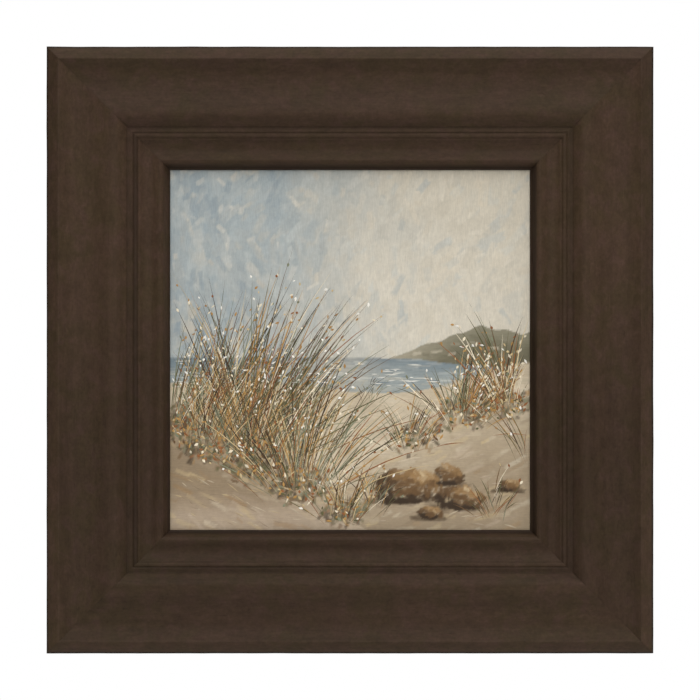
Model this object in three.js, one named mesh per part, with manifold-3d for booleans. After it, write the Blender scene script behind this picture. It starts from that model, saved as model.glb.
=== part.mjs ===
// A square painted canvas in a wide moulded wooden frame, to hang on a wall.
//
// Millimetres, +Z up. The picture faces -Y, and the wall is the plane y = 0.
// The origin is where the hanging nail leaves the wall, under the middle notch of the hanger.
//
// The frame's four sides are alike, so a piece is drawn once as part of the top side and turned
// about Y for the others. In a section, "inward" is the distance from the member's outer edge
// towards the middle of the picture, and "height" is the distance off the frame's back.

import * as THREE from 'three';
import { mergeVertices } from 'three/addons/utils/BufferGeometryUtils.js';
import Module from 'manifold-3d';

const wasm = await Module();
wasm.setup();

// ---- driving dimensions ----

const GAP = 0.3; // left between pieces that touch
const CURVE_STEPS = 6; // straight pieces in each curve of a section
const ROUND_SIDES = 20; // sides of pins, heads and holes

// canvas: a 305 mm square wrapped round its stretcher and folded over the back
const CANVAS_SIDE = 305;
const CANVAS_DEPTH = 20;
const CANVAS_THICKNESS = 0.7;
const CANVAS_FOLD = 17;

// frame: its lip covers a little of the canvas on every side
const RAIL_WIDTH = 101;
const LIP_OVERLAP = 4;
const CANVAS_CLEARANCE = 1.5;
const CANVAS_RECESS = 3; // how far the canvas lies in from the frame's back
const WALL_GAP = 4.5; // frame's back to the wall

// The frame's section runs through these landmarks, each [inward, height].
const OUTER_TOP = [0, 31];
const ARRIS = [10.7, 39.2];
const COVE_LOW = [25, 34];
const CREST = [56.5, 41];
const CREST_FOOT = [65.4, 35.9];
const QUIRK = [66.4, 34.6];
const FILLET_START = [67.4, 34.5];
const FILLET_END = [70.2, 35];
const OUTER_GROOVE = [71.2, 34.3];
const BEAD_TOP = [73.2, 35.5];
const INNER_GROOVE = [75.5, 33.9];
const SMALL_COVE_START = [76.7, 33.7];
const SMALL_COVE_LOW = [84.5, 30.6];
const INNER_CREST = [93.8, 34.2];
const WALL_TOP = [95.9, 32.9];
const WALL_FOOT = [98.2, 28.3]; // the thin lip starts in a tight cove at its foot
const LIP_EDGE_HEIGHT = 25.3;

// stretcher bars
const BAR_WIDTH = 38;
const BAR_DEPTH = 18;
const BAR_RIDGE = 3; // flat ridge at the outer edge, which alone touches the canvas
const BAR_BEVEL = 4; // steeper strip next to the ridge
const BAR_FALL = 2.2; // how far the front falls away in all
const TONGUE_LAYERS = [4, 9]; // a tongue's height off the bar's back: level bars, upright bars
const TONGUE_LAYER_DEPTH = 4;
const TONGUE_INSET = 2;

// wedge keys
const KEY_IN = 13; // length inside the slot
const KEY_OUT = 11; // length that stands out of it
const KEY_TIP = 7;
const KEY_HEAD = 15;

// staples
const STAPLE_COUNT = 5; // along each side
const STAPLE_SPACING = 47.5;
const STAPLE_INSET = 9; // from the canvas's edge
const STAPLE_CROWN = 10;
const STAPLE_LEG = 6;
const STAPLE_WIRE = 0.7;
const STAPLE_BREADTH = 1.2;

// V-nails
const V_NAIL_PLACES = [28, 74]; // from the frame's outer edges, along the mitre
const V_NAIL_LEG = 7;
const V_NAIL_STEEL = 0.9;
const V_NAIL_SUNK = 0.6;
const V_NAIL_LENGTH = 10;

// canvas clips and their screws
const CLIP_BREADTH = 14;
const CLIP_STEEL = 1.2;
const CLIP_FOOT = 15; // length on the rail
const CLIP_TOE = 8; // length on the canvas
const CLIP_STEP = 1.8; // from the rail's inner wall to the step between foot and toe
const CLIP_HOLE = 3.6;
const SCREW_SHANK = 3;
const SCREW_POINT = 3;
const SCREW_HEAD = 6.4;
const SCREW_HEAD_HEIGHT = 1.6;
const SCREW_LENGTH = 12;

// sawtooth hanger and its nails
const HANGER_DROP = 30; // frame's top edge down to the notches
const HANGER_LENGTH = 64;
const HANGER_BREADTH = 11;
const HANGER_STEEL = 1;
const HANGER_FOOT = 9;
const HANGER_BEND = 3; // length of the slope between a foot and the raised middle
const HANGER_RISE = 1.7;
const TOOTH_COUNT = 9;
const TOOTH_PITCH = 4;
const TOOTH_DEPTH = 1.8;
const NOTCH_HALF_WIDTH = 1.7;
const HANGER_HOLE = 2.2;
const NAIL_SHANK = 1.6;
const NAIL_POINT = 2.4;
const NAIL_HEAD = 4.4;
const NAIL_HEAD_HEIGHT = 0.9;
const NAIL_LENGTH = 11;

// bumpers
const BUMPER_DIAMETER = 14;
const BUMPER_INSET = 16; // from the frame's outer edges
const BUMPER_CHAMFER = 0.8;

// ---- dimensions worked out from those ----

const QUARTER_TURN = Math.PI / 2;
const SIGHT_SIDE = CANVAS_SIDE - 2 * LIP_OVERLAP;
const FRAME_HALF = SIGHT_SIDE / 2 + RAIL_WIDTH;
const CANVAS_HALF = CANVAS_SIDE / 2;
const CANVAS_FRONT = CANVAS_RECESS + CANVAS_DEPTH;
const RABBET_WALL = RAIL_WIDTH - LIP_OVERLAP - CANVAS_CLEARANCE;
const RABBET_DEPTH = CANVAS_FRONT + GAP;
const MITRE_SETBACK = GAP * Math.SQRT1_2;
const BAR_HALF = CANVAS_HALF - CANVAS_THICKNESS - GAP;
const BAR_INNER = BAR_HALF - BAR_WIDTH;
const BAR_BACK = CANVAS_RECESS + CANVAS_THICKNESS + GAP;
const BAR_FRONT = BAR_BACK + BAR_DEPTH;
const NOTCH_Z = FRAME_HALF - HANGER_DROP;

// ---- colours and finishes ----

const stain = new THREE.MeshStandardMaterial({ color: 0x3e3228, roughness: 0.55, metalness: 0 });
const paint = new THREE.MeshStandardMaterial({ color: 0xb7ad9c, roughness: 0.6, metalness: 0 });
const pine = new THREE.MeshStandardMaterial({ color: 0xd2b382, roughness: 0.7, metalness: 0 });
const beech = new THREE.MeshStandardMaterial({ color: 0xc79f6b, roughness: 0.65, metalness: 0 });
const steel = new THREE.MeshStandardMaterial({ color: 0xa9abae, roughness: 0.35, metalness: 1 });
const brass = new THREE.MeshStandardMaterial({ color: 0xb8964c, roughness: 0.35, metalness: 1 });
const rubber = new THREE.MeshStandardMaterial({ color: 0x2b2b2b, roughness: 0.85, metalness: 0 });

// ---- solids: joining and cutting ----

// A closed geometry as a solid that can be joined and cut.
function solidOf(geometry) {
  const bare = geometry.clone();
  bare.deleteAttribute('normal');
  bare.deleteAttribute('uv');
  const merged = mergeVertices(bare, 1e-4);
  return new wasm.Manifold(new wasm.Mesh({
    numProp: 3,
    vertProperties: Float32Array.from(merged.attributes.position.array),
    triVerts: Uint32Array.from(merged.index.array),
  }));
}

function geometryOf(solid) {
  const result = solid.getMesh();
  const geometry = new THREE.BufferGeometry();
  geometry.setAttribute('position', new THREE.BufferAttribute(result.vertProperties, 3));
  geometry.setIndex(new THREE.BufferAttribute(result.triVerts, 1));
  geometry.computeVertexNormals();
  return geometry;
}

function cut(geometry, cutters) {
  const remove = (solid, cutter) => solid.subtract(solidOf(cutter));
  return geometryOf(cutters.reduce(remove, solidOf(geometry)));
}

function join(geometry, additions) {
  const add = (solid, addition) => solid.add(solidOf(addition));
  return geometryOf(additions.reduce(add, solidOf(geometry)));
}

function piece(name, geometry, material) {
  const mesh = new THREE.Mesh(geometry, material);
  mesh.name = name;
  return mesh;
}

// ---- shapes, all placed about the picture's middle with height running to -Y ----

function outline(points) {
  return new THREE.Shape(points.map(([x, y]) => new THREE.Vector2(x, y)));
}

function extrude(shape, depth) {
  const settings = { depth, bevelEnabled: false, curveSegments: CURVE_STEPS };
  return new THREE.ExtrudeGeometry(shape, settings);
}

// A box from its ranges along X, in height and along Z.
function block([x0, x1], [height0, height1], [z0, z1]) {
  const box = new THREE.BoxGeometry(x1 - x0, height1 - height0, z1 - z0);
  return box.translate((x0 + x1) / 2, -(height0 + height1) / 2, (z0 + z1) / 2);
}

// A square slab with the picture's middle in its middle.
function slab(half, heights) {
  return block([-half, half], heights, [-half, half]);
}

// An outline in X and Z, made solid between two heights.
function plate(shape, [height0, height1]) {
  return extrude(shape, height1 - height0).rotateX(QUARTER_TURN).translate(0, -height0, 0);
}

// An outline in X and height, made solid between two places in Z.
function stripAlongZ(shape, [z0, z1]) {
  return extrude(shape, z1 - z0).rotateX(Math.PI).translate(0, 0, z1);
}

// An outline in Z and height, made solid between two places in X.
function stripAlongX(shape, [x0, x1]) {
  return extrude(shape, x1 - x0).rotateX(Math.PI).rotateY(-QUARTER_TURN).translate(x0, 0, 0);
}

// A turned piece from its profile of [radius, height], deepest end first, on the axis (x, z).
function turned(profile, x, z) {
  const points = profile.map(([radius, height]) => new THREE.Vector2(radius, -height));
  return new THREE.LatheGeometry(points, ROUND_SIDES).translate(x, 0, z);
}

function pin(diameter, [height0, height1], x, z) {
  const radius = diameter / 2;
  const cylinder = new THREE.CylinderGeometry(radius, radius, height1 - height0, ROUND_SIDES);
  return cylinder.translate(x, -(height0 + height1) / 2, z);
}

// The top member of a square: a section of [inward, height] run along X, both ends mitred.
function mitred(section, half) {
  const geometry = extrude(section, 1);
  const points = geometry.attributes.position;
  for (let i = 0; i < points.count; i += 1) {
    const inward = points.getX(i);
    const end = 1 - 2 * points.getZ(i);
    points.setXYZ(i, end * (half - inward - MITRE_SETBACK), -points.getY(i), half - inward);
  }
  return geometry;
}

// ---- V-nails, pressed into the back across each mitre ----

// The bent strip at the mitre of the top and right rails, with a margin round it for its pocket.
function vNail(place, margin = 0) {
  const outer = margin;
  const tip = -V_NAIL_LEG - margin;
  const inner = -V_NAIL_STEEL - margin;
  const bend = outline([
    [outer, outer], [tip, outer], [tip, inner], [inner, inner], [inner, tip], [outer, tip],
  ]);
  const back = margin > 0 ? -1 : V_NAIL_SUNK;
  const at = FRAME_HALF - place;
  return plate(bend, [back, V_NAIL_SUNK + V_NAIL_LENGTH + margin]).translate(at, 0, at);
}

function vNails(side) {
  return V_NAIL_PLACES.map((place, i) => piece(`v_nail_${side}_${i + 1}`, vNail(place), steel));
}

// The top rail's pockets: those of its right mitre, and those of its left a quarter turn back.
function vNailPockets() {
  const right = V_NAIL_PLACES.map((place) => vNail(place, GAP));
  const left = right.map((pocket) => pocket.clone().rotateY(-QUARTER_TURN));
  return [...right, ...left];
}

// ---- canvas clips and screws ----

const CLIP_X = STAPLE_SPACING / 2;
const CLIP_WALL_Z = FRAME_HALF - RABBET_WALL;
const CLIP_SCREW_Z = CLIP_WALL_Z + CLIP_FOOT / 2;

function canvasClip(side) {
  const footFront = -GAP;
  const footBack = footFront - CLIP_STEEL;
  const toeFront = CANVAS_RECESS - GAP;
  const toeBack = toeFront - CLIP_STEEL;
  const footEnd = CLIP_WALL_Z + CLIP_FOOT;
  const step = CLIP_WALL_Z - CLIP_STEP;
  const toeEnd = step - CLIP_STEEL - CLIP_TOE;
  const bend = outline([
    [footEnd, footBack], [step - CLIP_STEEL, footBack], [step - CLIP_STEEL, toeBack],
    [toeEnd, toeBack], [toeEnd, toeFront], [step, toeFront], [step, footFront],
    [footEnd, footFront],
  ]);
  const blank = stripAlongX(bend, [CLIP_X - CLIP_BREADTH / 2, CLIP_X + CLIP_BREADTH / 2]);
  const screwHole = pin(CLIP_HOLE, [footBack - 1, footFront + 1], CLIP_X, CLIP_SCREW_Z);
  return piece(`canvas_clip_${side}`, cut(blank, [screwHole]), steel);
}

function clipScrew(side) {
  const shank = SCREW_SHANK / 2;
  const head = SCREW_HEAD / 2;
  const seat = -(2 * GAP + CLIP_STEEL);
  const crown = seat - SCREW_HEAD_HEIGHT;
  const profile = [
    [0, SCREW_LENGTH], [shank, SCREW_LENGTH - SCREW_POINT], [shank, seat], [head, seat],
    [head * 0.94, seat - SCREW_HEAD_HEIGHT * 0.45], [head * 0.62, crown + 0.18], [0, crown],
  ];
  const screw = geometryOf(solidOf(turned(profile, CLIP_X, CLIP_SCREW_Z)));
  return piece(`clip_screw_${side}`, screw, steel);
}

function clipScrewPocket() {
  return pin(CLIP_HOLE, [-1, SCREW_LENGTH + GAP], CLIP_X, CLIP_SCREW_Z);
}

// ---- sawtooth hanger and its nails ----

const HANGER_LOW = NOTCH_Z - TOOTH_DEPTH;
const HANGER_HIGH = HANGER_LOW + HANGER_BREADTH;
const HANGER_NAIL_X = (HANGER_LENGTH - HANGER_FOOT) / 2;
const HANGER_NAIL_Z = (HANGER_LOW + HANGER_HIGH) / 2;

function hangerNotch(index) {
  const x = (index - (TOOTH_COUNT - 1) / 2) * TOOTH_PITCH;
  const notch = outline([
    [x - NOTCH_HALF_WIDTH, HANGER_LOW], [x - NOTCH_HALF_WIDTH, HANGER_LOW - 1],
    [x + NOTCH_HALF_WIDTH, HANGER_LOW - 1], [x + NOTCH_HALF_WIDTH, HANGER_LOW], [x, NOTCH_Z],
  ]);
  return plate(notch, [-WALL_GAP, 0]);
}

function sawtoothHanger() {
  const end = HANGER_LENGTH / 2;
  const foot = end - HANGER_FOOT;
  const raised = foot - HANGER_BEND;
  const low = -GAP;
  const high = low - HANGER_RISE;
  const bend = outline([
    [-end, low], [-foot, low], [-raised, high], [raised, high], [foot, low], [end, low],
    [end, low - HANGER_STEEL], [foot, low - HANGER_STEEL], [raised, high - HANGER_STEEL],
    [-raised, high - HANGER_STEEL], [-foot, low - HANGER_STEEL], [-end, low - HANGER_STEEL],
  ]);
  const blank = stripAlongZ(bend, [HANGER_LOW, HANGER_HIGH]);
  const notches = Array.from({ length: TOOTH_COUNT }, (_, index) => hangerNotch(index));
  const holes = [-1, 1].map((side) => (
    pin(HANGER_HOLE, [-WALL_GAP, 0], side * HANGER_NAIL_X, HANGER_NAIL_Z)
  ));
  return piece('sawtooth_hanger', cut(blank, [...notches, ...holes]), brass);
}

function hangerNail(name, side) {
  const shank = NAIL_SHANK / 2;
  const head = NAIL_HEAD / 2;
  const seat = -(2 * GAP + HANGER_STEEL);
  const crown = seat - NAIL_HEAD_HEIGHT;
  const profile = [
    [0, NAIL_LENGTH], [shank, NAIL_LENGTH - NAIL_POINT], [shank, seat], [head, seat],
    [head * 0.95, seat - NAIL_HEAD_HEIGHT * 0.5], [head * 0.6, crown + 0.1], [0, crown],
  ];
  const nail = geometryOf(solidOf(turned(profile, side * HANGER_NAIL_X, HANGER_NAIL_Z)));
  return piece(name, nail, brass);
}

function hangerNailPockets() {
  const reach = [-1, NAIL_LENGTH + GAP];
  return [-1, 1].map((side) => pin(HANGER_HOLE, reach, side * HANGER_NAIL_X, HANGER_NAIL_Z));
}

// ---- bumpers ----

function bumper(name, side) {
  const radius = BUMPER_DIAMETER / 2;
  const place = FRAME_HALF - BUMPER_INSET;
  const profile = [
    [0, -GAP], [radius, -GAP], [radius, BUMPER_CHAMFER - WALL_GAP],
    [radius - BUMPER_CHAMFER, -WALL_GAP], [0, -WALL_GAP],
  ];
  return piece(name, geometryOf(solidOf(turned(profile, side * place, -place))), rubber);
}

// ---- frame rails ----

function railSection() {
  const section = new THREE.Shape();
  section.moveTo(0, 0);
  section.lineTo(...OUTER_TOP);
  section.quadraticCurveTo(4.2, 35.6, ...ARRIS);
  section.bezierCurveTo(15.5, 36.4, 20, COVE_LOW[1], ...COVE_LOW);
  section.bezierCurveTo(43, COVE_LOW[1], 47, CREST[1], ...CREST);
  section.bezierCurveTo(60, CREST[1], 62.5, 38.1, ...CREST_FOOT);
  section.lineTo(...QUIRK);
  section.lineTo(...FILLET_START);
  section.lineTo(...FILLET_END);
  section.lineTo(...OUTER_GROOVE);
  section.quadraticCurveTo(71.7, BEAD_TOP[1], ...BEAD_TOP);
  section.quadraticCurveTo(74.8, BEAD_TOP[1], ...INNER_GROOVE);
  section.lineTo(...SMALL_COVE_START);
  section.quadraticCurveTo(80, SMALL_COVE_LOW[1], ...SMALL_COVE_LOW);
  section.bezierCurveTo(88, SMALL_COVE_LOW[1], 89.8, 33.5, ...INNER_CREST);
  section.lineTo(...WALL_TOP);
  section.lineTo(...WALL_FOOT);
  section.quadraticCurveTo(98.8, 25.8, RAIL_WIDTH, LIP_EDGE_HEIGHT);
  section.lineTo(RAIL_WIDTH, RABBET_DEPTH);
  section.lineTo(RABBET_WALL, RABBET_DEPTH);
  section.lineTo(RABBET_WALL, 0);
  return section;
}

function rail(side) {
  const pockets = [...vNailPockets(), clipScrewPocket()];
  if (side === 'top') pockets.push(...hangerNailPockets());
  return piece(`rail_${side}`, cut(mitred(railSection(), FRAME_HALF), pockets), stain);
}

// ---- stretcher bars ----

const KEY_EDGE = BAR_INNER - GAP; // the key's long side, next to the neighbouring bar
const KEY_AT_MOUTH = KEY_TIP + (KEY_HEAD - KEY_TIP) * (KEY_IN / (KEY_IN + KEY_OUT));
const SLOT_START = KEY_EDGE - KEY_AT_MOUTH - GAP;

// Level bars have their tongues in the first layer and their slots in the second, and upright
// bars the other way round, so every tongue lies in its neighbour's slot.
function tongueLayer(side) {
  return side === 'top' || side === 'bottom' ? 0 : 1;
}

function layerHeights(layer, margin = 0) {
  const low = BAR_BACK + TONGUE_LAYERS[layer];
  return [low + margin, low + TONGUE_LAYER_DEPTH - margin];
}

function atBothEnds([x0, x1], heights, zs) {
  return [block([x0, x1], heights, zs), block([-x1, -x0], heights, zs)];
}

function barSection() {
  return outline([
    [0, BAR_BACK], [0, BAR_FRONT], [BAR_RIDGE, BAR_FRONT],
    [BAR_RIDGE + BAR_BEVEL, BAR_FRONT - BAR_FALL * 0.6], [BAR_WIDTH, BAR_FRONT - BAR_FALL],
    [BAR_WIDTH, BAR_BACK],
  ]);
}

function stretcherBar(side) {
  const layer = tongueLayer(side);
  const root = BAR_INNER - BAR_WIDTH;
  const tongueZ = [BAR_INNER + TONGUE_INSET, BAR_HALF];
  const tongues = atBothEnds([root, BAR_HALF], layerHeights(layer, GAP), tongueZ);
  const slotZ = [BAR_INNER - 1, BAR_HALF + 1];
  const slots = atBothEnds([SLOT_START, BAR_HALF + 1], layerHeights(1 - layer), slotZ);
  const bar = cut(join(mitred(barSection(), BAR_HALF), tongues), [...slots, ...staplePockets()]);
  return piece(`stretcher_${side}`, bar, pine);
}

// Each end of a bar holds one key in its slot, with the key's long side along the next bar.
function keys(side) {
  const heights = layerHeights(1 - tongueLayer(side), GAP);
  return [-1, 1].map((end, i) => {
    const wedge = outline([
      [end * KEY_EDGE, BAR_INNER - KEY_OUT], [end * KEY_EDGE, BAR_INNER + KEY_IN],
      [end * (KEY_EDGE - KEY_TIP), BAR_INNER + KEY_IN],
      [end * (KEY_EDGE - KEY_HEAD), BAR_INNER - KEY_OUT],
    ]);
    return piece(`key_${side}_${i + 1}`, plate(wedge, heights), beech);
  });
}

// ---- staples ----

const STAPLE_Z = CANVAS_HALF - STAPLE_INSET;
const STAPLE_FRONT = CANVAS_RECESS - GAP; // the crown's face on the canvas
const STAPLE_PLACES = Array.from(
  { length: STAPLE_COUNT },
  (_, index) => (index - (STAPLE_COUNT - 1) / 2) * STAPLE_SPACING,
);

function staple(side, x, index) {
  const half = STAPLE_CROWN / 2;
  const back = STAPLE_FRONT - STAPLE_WIRE;
  const point = STAPLE_FRONT + STAPLE_LEG;
  const bend = outline([
    [x - half, back], [x + half, back], [x + half, point], [x + half - STAPLE_WIRE, point],
    [x + half - STAPLE_WIRE, STAPLE_FRONT], [x - half + STAPLE_WIRE, STAPLE_FRONT],
    [x - half + STAPLE_WIRE, point], [x - half, point],
  ]);
  const breadth = [STAPLE_Z - STAPLE_BREADTH / 2, STAPLE_Z + STAPLE_BREADTH / 2];
  return piece(`staple_${side}_${index + 1}`, stripAlongZ(bend, breadth), steel);
}

function staples(side) {
  return STAPLE_PLACES.map((x, index) => staple(side, x, index));
}

// The pockets of one side's staple legs, through the folded canvas and into the bar.
function staplePockets() {
  const heights = [STAPLE_FRONT, STAPLE_FRONT + STAPLE_LEG + GAP];
  const reach = STAPLE_BREADTH / 2 + GAP;
  const zs = [STAPLE_Z - reach, STAPLE_Z + reach];
  const inner = STAPLE_CROWN / 2 - STAPLE_WIRE - GAP;
  const outer = STAPLE_CROWN / 2 + GAP;
  return STAPLE_PLACES.flatMap((x) => [
    block([x - outer, x - inner], heights, zs),
    block([x + inner, x + outer], heights, zs),
  ]);
}

// ---- canvas ----

function canvas() {
  const wrapped = slab(CANVAS_HALF, [CANVAS_RECESS, CANVAS_FRONT]);
  const inside = [CANVAS_RECESS + CANVAS_THICKNESS, CANVAS_FRONT - CANVAS_THICKNESS];
  const hollow = slab(CANVAS_HALF - CANVAS_THICKNESS, inside);
  const window = slab(CANVAS_HALF - CANVAS_FOLD, [0, inside[0] + 1]);
  const pockets = SIDES.flatMap((_, turn) => (
    staplePockets().map((pocket) => pocket.rotateY(turn * QUARTER_TURN))
  ));
  return piece('canvas', cut(wrapped, [hollow, window, ...pockets]), paint);
}

// ---- the whole picture ----

const SIDES = ['top', 'right', 'bottom', 'left']; // clockwise, seen from the front

function sideGroup(side, turn) {
  const group = new THREE.Group();
  group.add(rail(side), stretcherBar(side), canvasClip(side), clipScrew(side));
  group.add(...keys(side), ...staples(side), ...vNails(side));
  group.rotation.y = turn * QUARTER_TURN;
  return group;
}

const picture = new THREE.Group();
picture.add(...SIDES.map(sideGroup));
picture.add(canvas(), sawtoothHanger());
picture.add(hangerNail('hanger_nail_left', -1), hangerNail('hanger_nail_right', 1));
picture.add(bumper('bumper_left', -1), bumper('bumper_right', 1));
picture.position.set(0, -WALL_GAP, -NOTCH_Z);

export default picture;
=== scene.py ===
"""A square painted canvas in a wide dark moulded frame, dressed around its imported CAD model.

Sizes are metres. x runs along the wall, y into it and z up, so the picture faces -y. Most pieces
are worked out in a side's own terms: place is the distance along the side from its middle, reach
the distance from the picture's middle out towards the side, and height the distance off the
frame's back towards the viewer.
"""
import math

import bmesh
import bpy
import numpy as np
from bpy.props import FloatProperty, FloatVectorProperty, IntProperty, PointerProperty
from bpy.types import Operator, Panel, PropertyGroup
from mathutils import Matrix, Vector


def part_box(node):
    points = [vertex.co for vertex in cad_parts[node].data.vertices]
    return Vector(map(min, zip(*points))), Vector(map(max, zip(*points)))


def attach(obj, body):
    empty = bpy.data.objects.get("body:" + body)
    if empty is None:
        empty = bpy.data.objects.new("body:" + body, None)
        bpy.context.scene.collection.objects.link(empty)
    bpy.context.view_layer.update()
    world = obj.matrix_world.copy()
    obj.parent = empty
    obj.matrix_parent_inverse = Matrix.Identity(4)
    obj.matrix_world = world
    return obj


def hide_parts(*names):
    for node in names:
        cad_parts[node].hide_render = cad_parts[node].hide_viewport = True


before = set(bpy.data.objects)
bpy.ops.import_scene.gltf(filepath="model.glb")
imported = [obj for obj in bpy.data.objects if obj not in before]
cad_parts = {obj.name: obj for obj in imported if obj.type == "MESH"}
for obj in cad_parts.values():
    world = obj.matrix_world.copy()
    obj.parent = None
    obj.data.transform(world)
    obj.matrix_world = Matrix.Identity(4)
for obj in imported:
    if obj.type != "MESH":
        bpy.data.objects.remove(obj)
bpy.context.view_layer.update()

bl_info = {
    "name": "Framed Canvas Picture",
    "version": (1, 0, 0),
    "blender": (4, 5, 0),
    "location": "View3D > Sidebar > Picture",
    "description": "Dresses a framed canvas picture: moulding, painted cloth, stretcher and fixings",
    "category": "Object",
}

MM = 0.001
SIDES = ("top", "right", "bottom", "left")

# where the picture is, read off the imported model
RAIL_LOW, RAIL_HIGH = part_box("rail_top")
CANVAS_LOW, CANVAS_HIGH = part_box("canvas")
FRAME_HALF = (RAIL_HIGH.x - RAIL_LOW.x) / 2
CENTRE_Z = RAIL_HIGH.z - FRAME_HALF
BACK_Y = RAIL_HIGH.y
CANVAS_HALF = (CANVAS_HIGH.x - CANVAS_LOW.x) / 2
CANVAS_FRONT = BACK_Y - CANVAS_LOW.y
CANVAS_REAR = BACK_Y - CANVAS_HIGH.y

# the moulding's outline in millimetres: (in from the outer side, off the back), each row a line
# or a curve by its control points, and each starting where the one before ends
MOULDING_CURVES = (
    ((0, 0), (0, 31)),
    ((0, 31), (4.2, 35.6), (10.7, 39.2)),
    ((10.7, 39.2), (15.5, 36.4), (20, 34), (25, 34)),
    ((25, 34), (43, 34), (47, 41), (56.5, 41)),
    ((56.5, 41), (60, 41), (62.5, 38.1), (65.4, 35.9)),
    ((65.4, 35.9), (66.4, 34.6)),
    ((66.4, 34.6), (67.4, 34.5)),
    ((67.4, 34.5), (70.2, 35)),
    ((70.2, 35), (71.2, 34.3)),
    ((71.2, 34.3), (71.7, 35.5), (73.2, 35.5)),
    ((73.2, 35.5), (74.8, 35.5), (75.5, 33.9)),
    ((75.5, 33.9), (76.7, 33.7)),
    ((76.7, 33.7), (80, 30.6), (84.5, 30.6)),
    ((84.5, 30.6), (88, 30.6), (89.8, 33.5), (93.8, 34.2)),
    ((93.8, 34.2), (95.9, 32.9)),
    ((95.9, 32.9), (98.2, 28.3)),
    ((98.2, 28.3), (98.8, 25.8), (101, 25.3)),
    ((101, 25.3), (101, 23.3)),
    ((101, 23.3), (95.5, 23.3)),
    ((95.5, 23.3), (95.5, 0)),
    ((95.5, 0), (0, 0)),
)


# ---- settings ----


def length(name, description, default):
    """A setting that is a length."""
    return FloatProperty(
        name=name, description=description, default=default, precision=5, unit="LENGTH",
        subtype="DISTANCE",
    )


def tint(name, description, default):
    """A setting that is a colour, in linear light."""
    return FloatVectorProperty(
        name=name, description=description, default=default, min=0.0, max=1.0, size=3,
        subtype="COLOR",
    )


class MouldingSettings(PropertyGroup):
    """Sizes and colours of the moulded frame."""

    ease: length("Arris ease", "How far the sharp arrises are rubbed round", 0.28 * MM)
    waver: length("Waver", "Hand sanded unevenness of the front", 0.13 * MM)
    joint: length("Mitre joint", "Depth of the eased line along each mitre", 0.06 * MM)
    brown: tint("Stain", "Main colour of the stain", (0.0500, 0.0300, 0.0186))
    olive: tint("Olive stain", "Greener patches of the stain", (0.0466, 0.0303, 0.0163))
    russet: tint("Russet stain", "Redder patches of the stain", (0.0512, 0.0294, 0.0212))
    worn: tint("Worn stain", "Colour along the rubbed arrises", (0.0640, 0.0430, 0.0290))
    # this colour is also the painted shade on the rim, fillet, bead and lip
    wax_and_shade_colour: tint("Dark wax", "Colour left in the grooves and on the lip", (0.0100, 0.0060, 0.0042))
    bare: tint("Bare back", "Unstained wood of the frame's back", (0.4300, 0.2950, 0.1650))


class PictureSettings(PropertyGroup):
    """The canvas and the plain coast painted on it."""

    relief: length("Paint relief", "Height of the brush marks", 0.32 * MM)
    seed: IntProperty(name="Seed", description="Which arrangement of brush marks", default=11)
    blades: IntProperty(name="Grass blades", description="Blades in the dune grass", default=1250)
    heads: IntProperty(name="Seed heads", description="Dabs of seed on the grass", default=880)
    leaves: IntProperty(name="Leaves", description="Leaves of the low scrub", default=480)
    gesso: tint("Ground", "White ground on the cloth", (0.690, 0.675, 0.620))
    unpainted: tint("Bare cloth", "Unpainted cloth seen from behind", (0.560, 0.480, 0.350))


class StretcherSettings(PropertyGroup):
    """Colours of the stretcher's bars and keys."""

    pine: tint("Pine", "Planed stretcher bars", (0.600, 0.405, 0.205))
    pine_grain: tint("Pine grain", "Dark lines of the pine", (0.400, 0.225, 0.090))
    beech: tint("Beech", "Wedge keys", (0.520, 0.300, 0.145))


class FixingSettings(PropertyGroup):
    """Colour of the small steel pieces."""

    steel: tint("Steel", "Staples, V-nails, clips and screws", (0.560, 0.570, 0.580))


class HangerSettings(PropertyGroup):
    """Colours of what the picture hangs by and rests on the wall with."""

    brass: tint("Brass", "Hanger and its nails", (0.680, 0.470, 0.170))
    rubber: tint("Rubber", "Bumpers", (0.020, 0.020, 0.021))


class StageSettings(PropertyGroup):
    """Floor, lights and camera."""

    floor: tint("Floor", "Plain pale floor", (0.80, 0.80, 0.79))
    floor_level: length("Floor level", "Height of the floor", -0.80)
    floor_reach: length("Floor reach", "From the floor's middle to its edge", 1.9)
    glow: tint("Light", "Colour of the room's light", (1.0, 0.99, 0.975))
    lens: FloatProperty(
        name="Lens", description="Focal length in mm", default=125.2, unit="CAMERA"
    )
    distance: length("Camera distance", "From the camera to the wall plane", 2.0355)
    light: FloatProperty(name="Light", description="Strength of all the soft lights", default=1.0)
    spread: FloatProperty(
        name="Softness", description="Spread of each light, 0 for a sharp one", default=0.147
    )


class PictureProject(PropertyGroup):
    """All the settings together."""

    moulding: PointerProperty(type=MouldingSettings)
    picture: PointerProperty(type=PictureSettings)
    stretcher: PointerProperty(type=StretcherSettings)
    fixings: PointerProperty(type=FixingSettings)
    hanger: PointerProperty(type=HangerSettings)
    stage: PointerProperty(type=StageSettings)


# ---- shapes ----


def on_side(side, place, reach, height):
    """World points from place, reach and height on a side, 0 to 3 clockwise from the top.

    x and z are (place, reach) turned a quarter about the picture's middle for each side passed,
    and y is the frame's back less the height.
    """
    x, z = ((place, reach), (reach, -place), (-place, -reach), (-reach, place))[side]
    x, y, z = np.broadcast_arrays(x, BACK_Y - height, CENTRE_Z + z)
    return np.stack([x, y, z], axis=-1)


def bezier(controls, steps):
    """Bezier curve: the control points weighted by the binomial terms of t and 1 - t."""
    controls = np.asarray(controls, float)
    order = len(controls) - 1
    t = np.linspace(0, 1, steps, endpoint=False)[:, None]
    powers = np.arange(order + 1)
    chosen = np.array([math.comb(order, k) for k in powers])
    return (chosen * t**powers * (1 - t) ** (order - powers)) @ controls


def along(points, closed=False):
    """Distance walked along a chain of points, from 0."""
    steps = np.diff(points, axis=0, append=points[:1] if closed else points[-1:])
    return np.concatenate([[0], np.cumsum(np.linalg.norm(steps, axis=1))])[: len(points) + closed]


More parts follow.
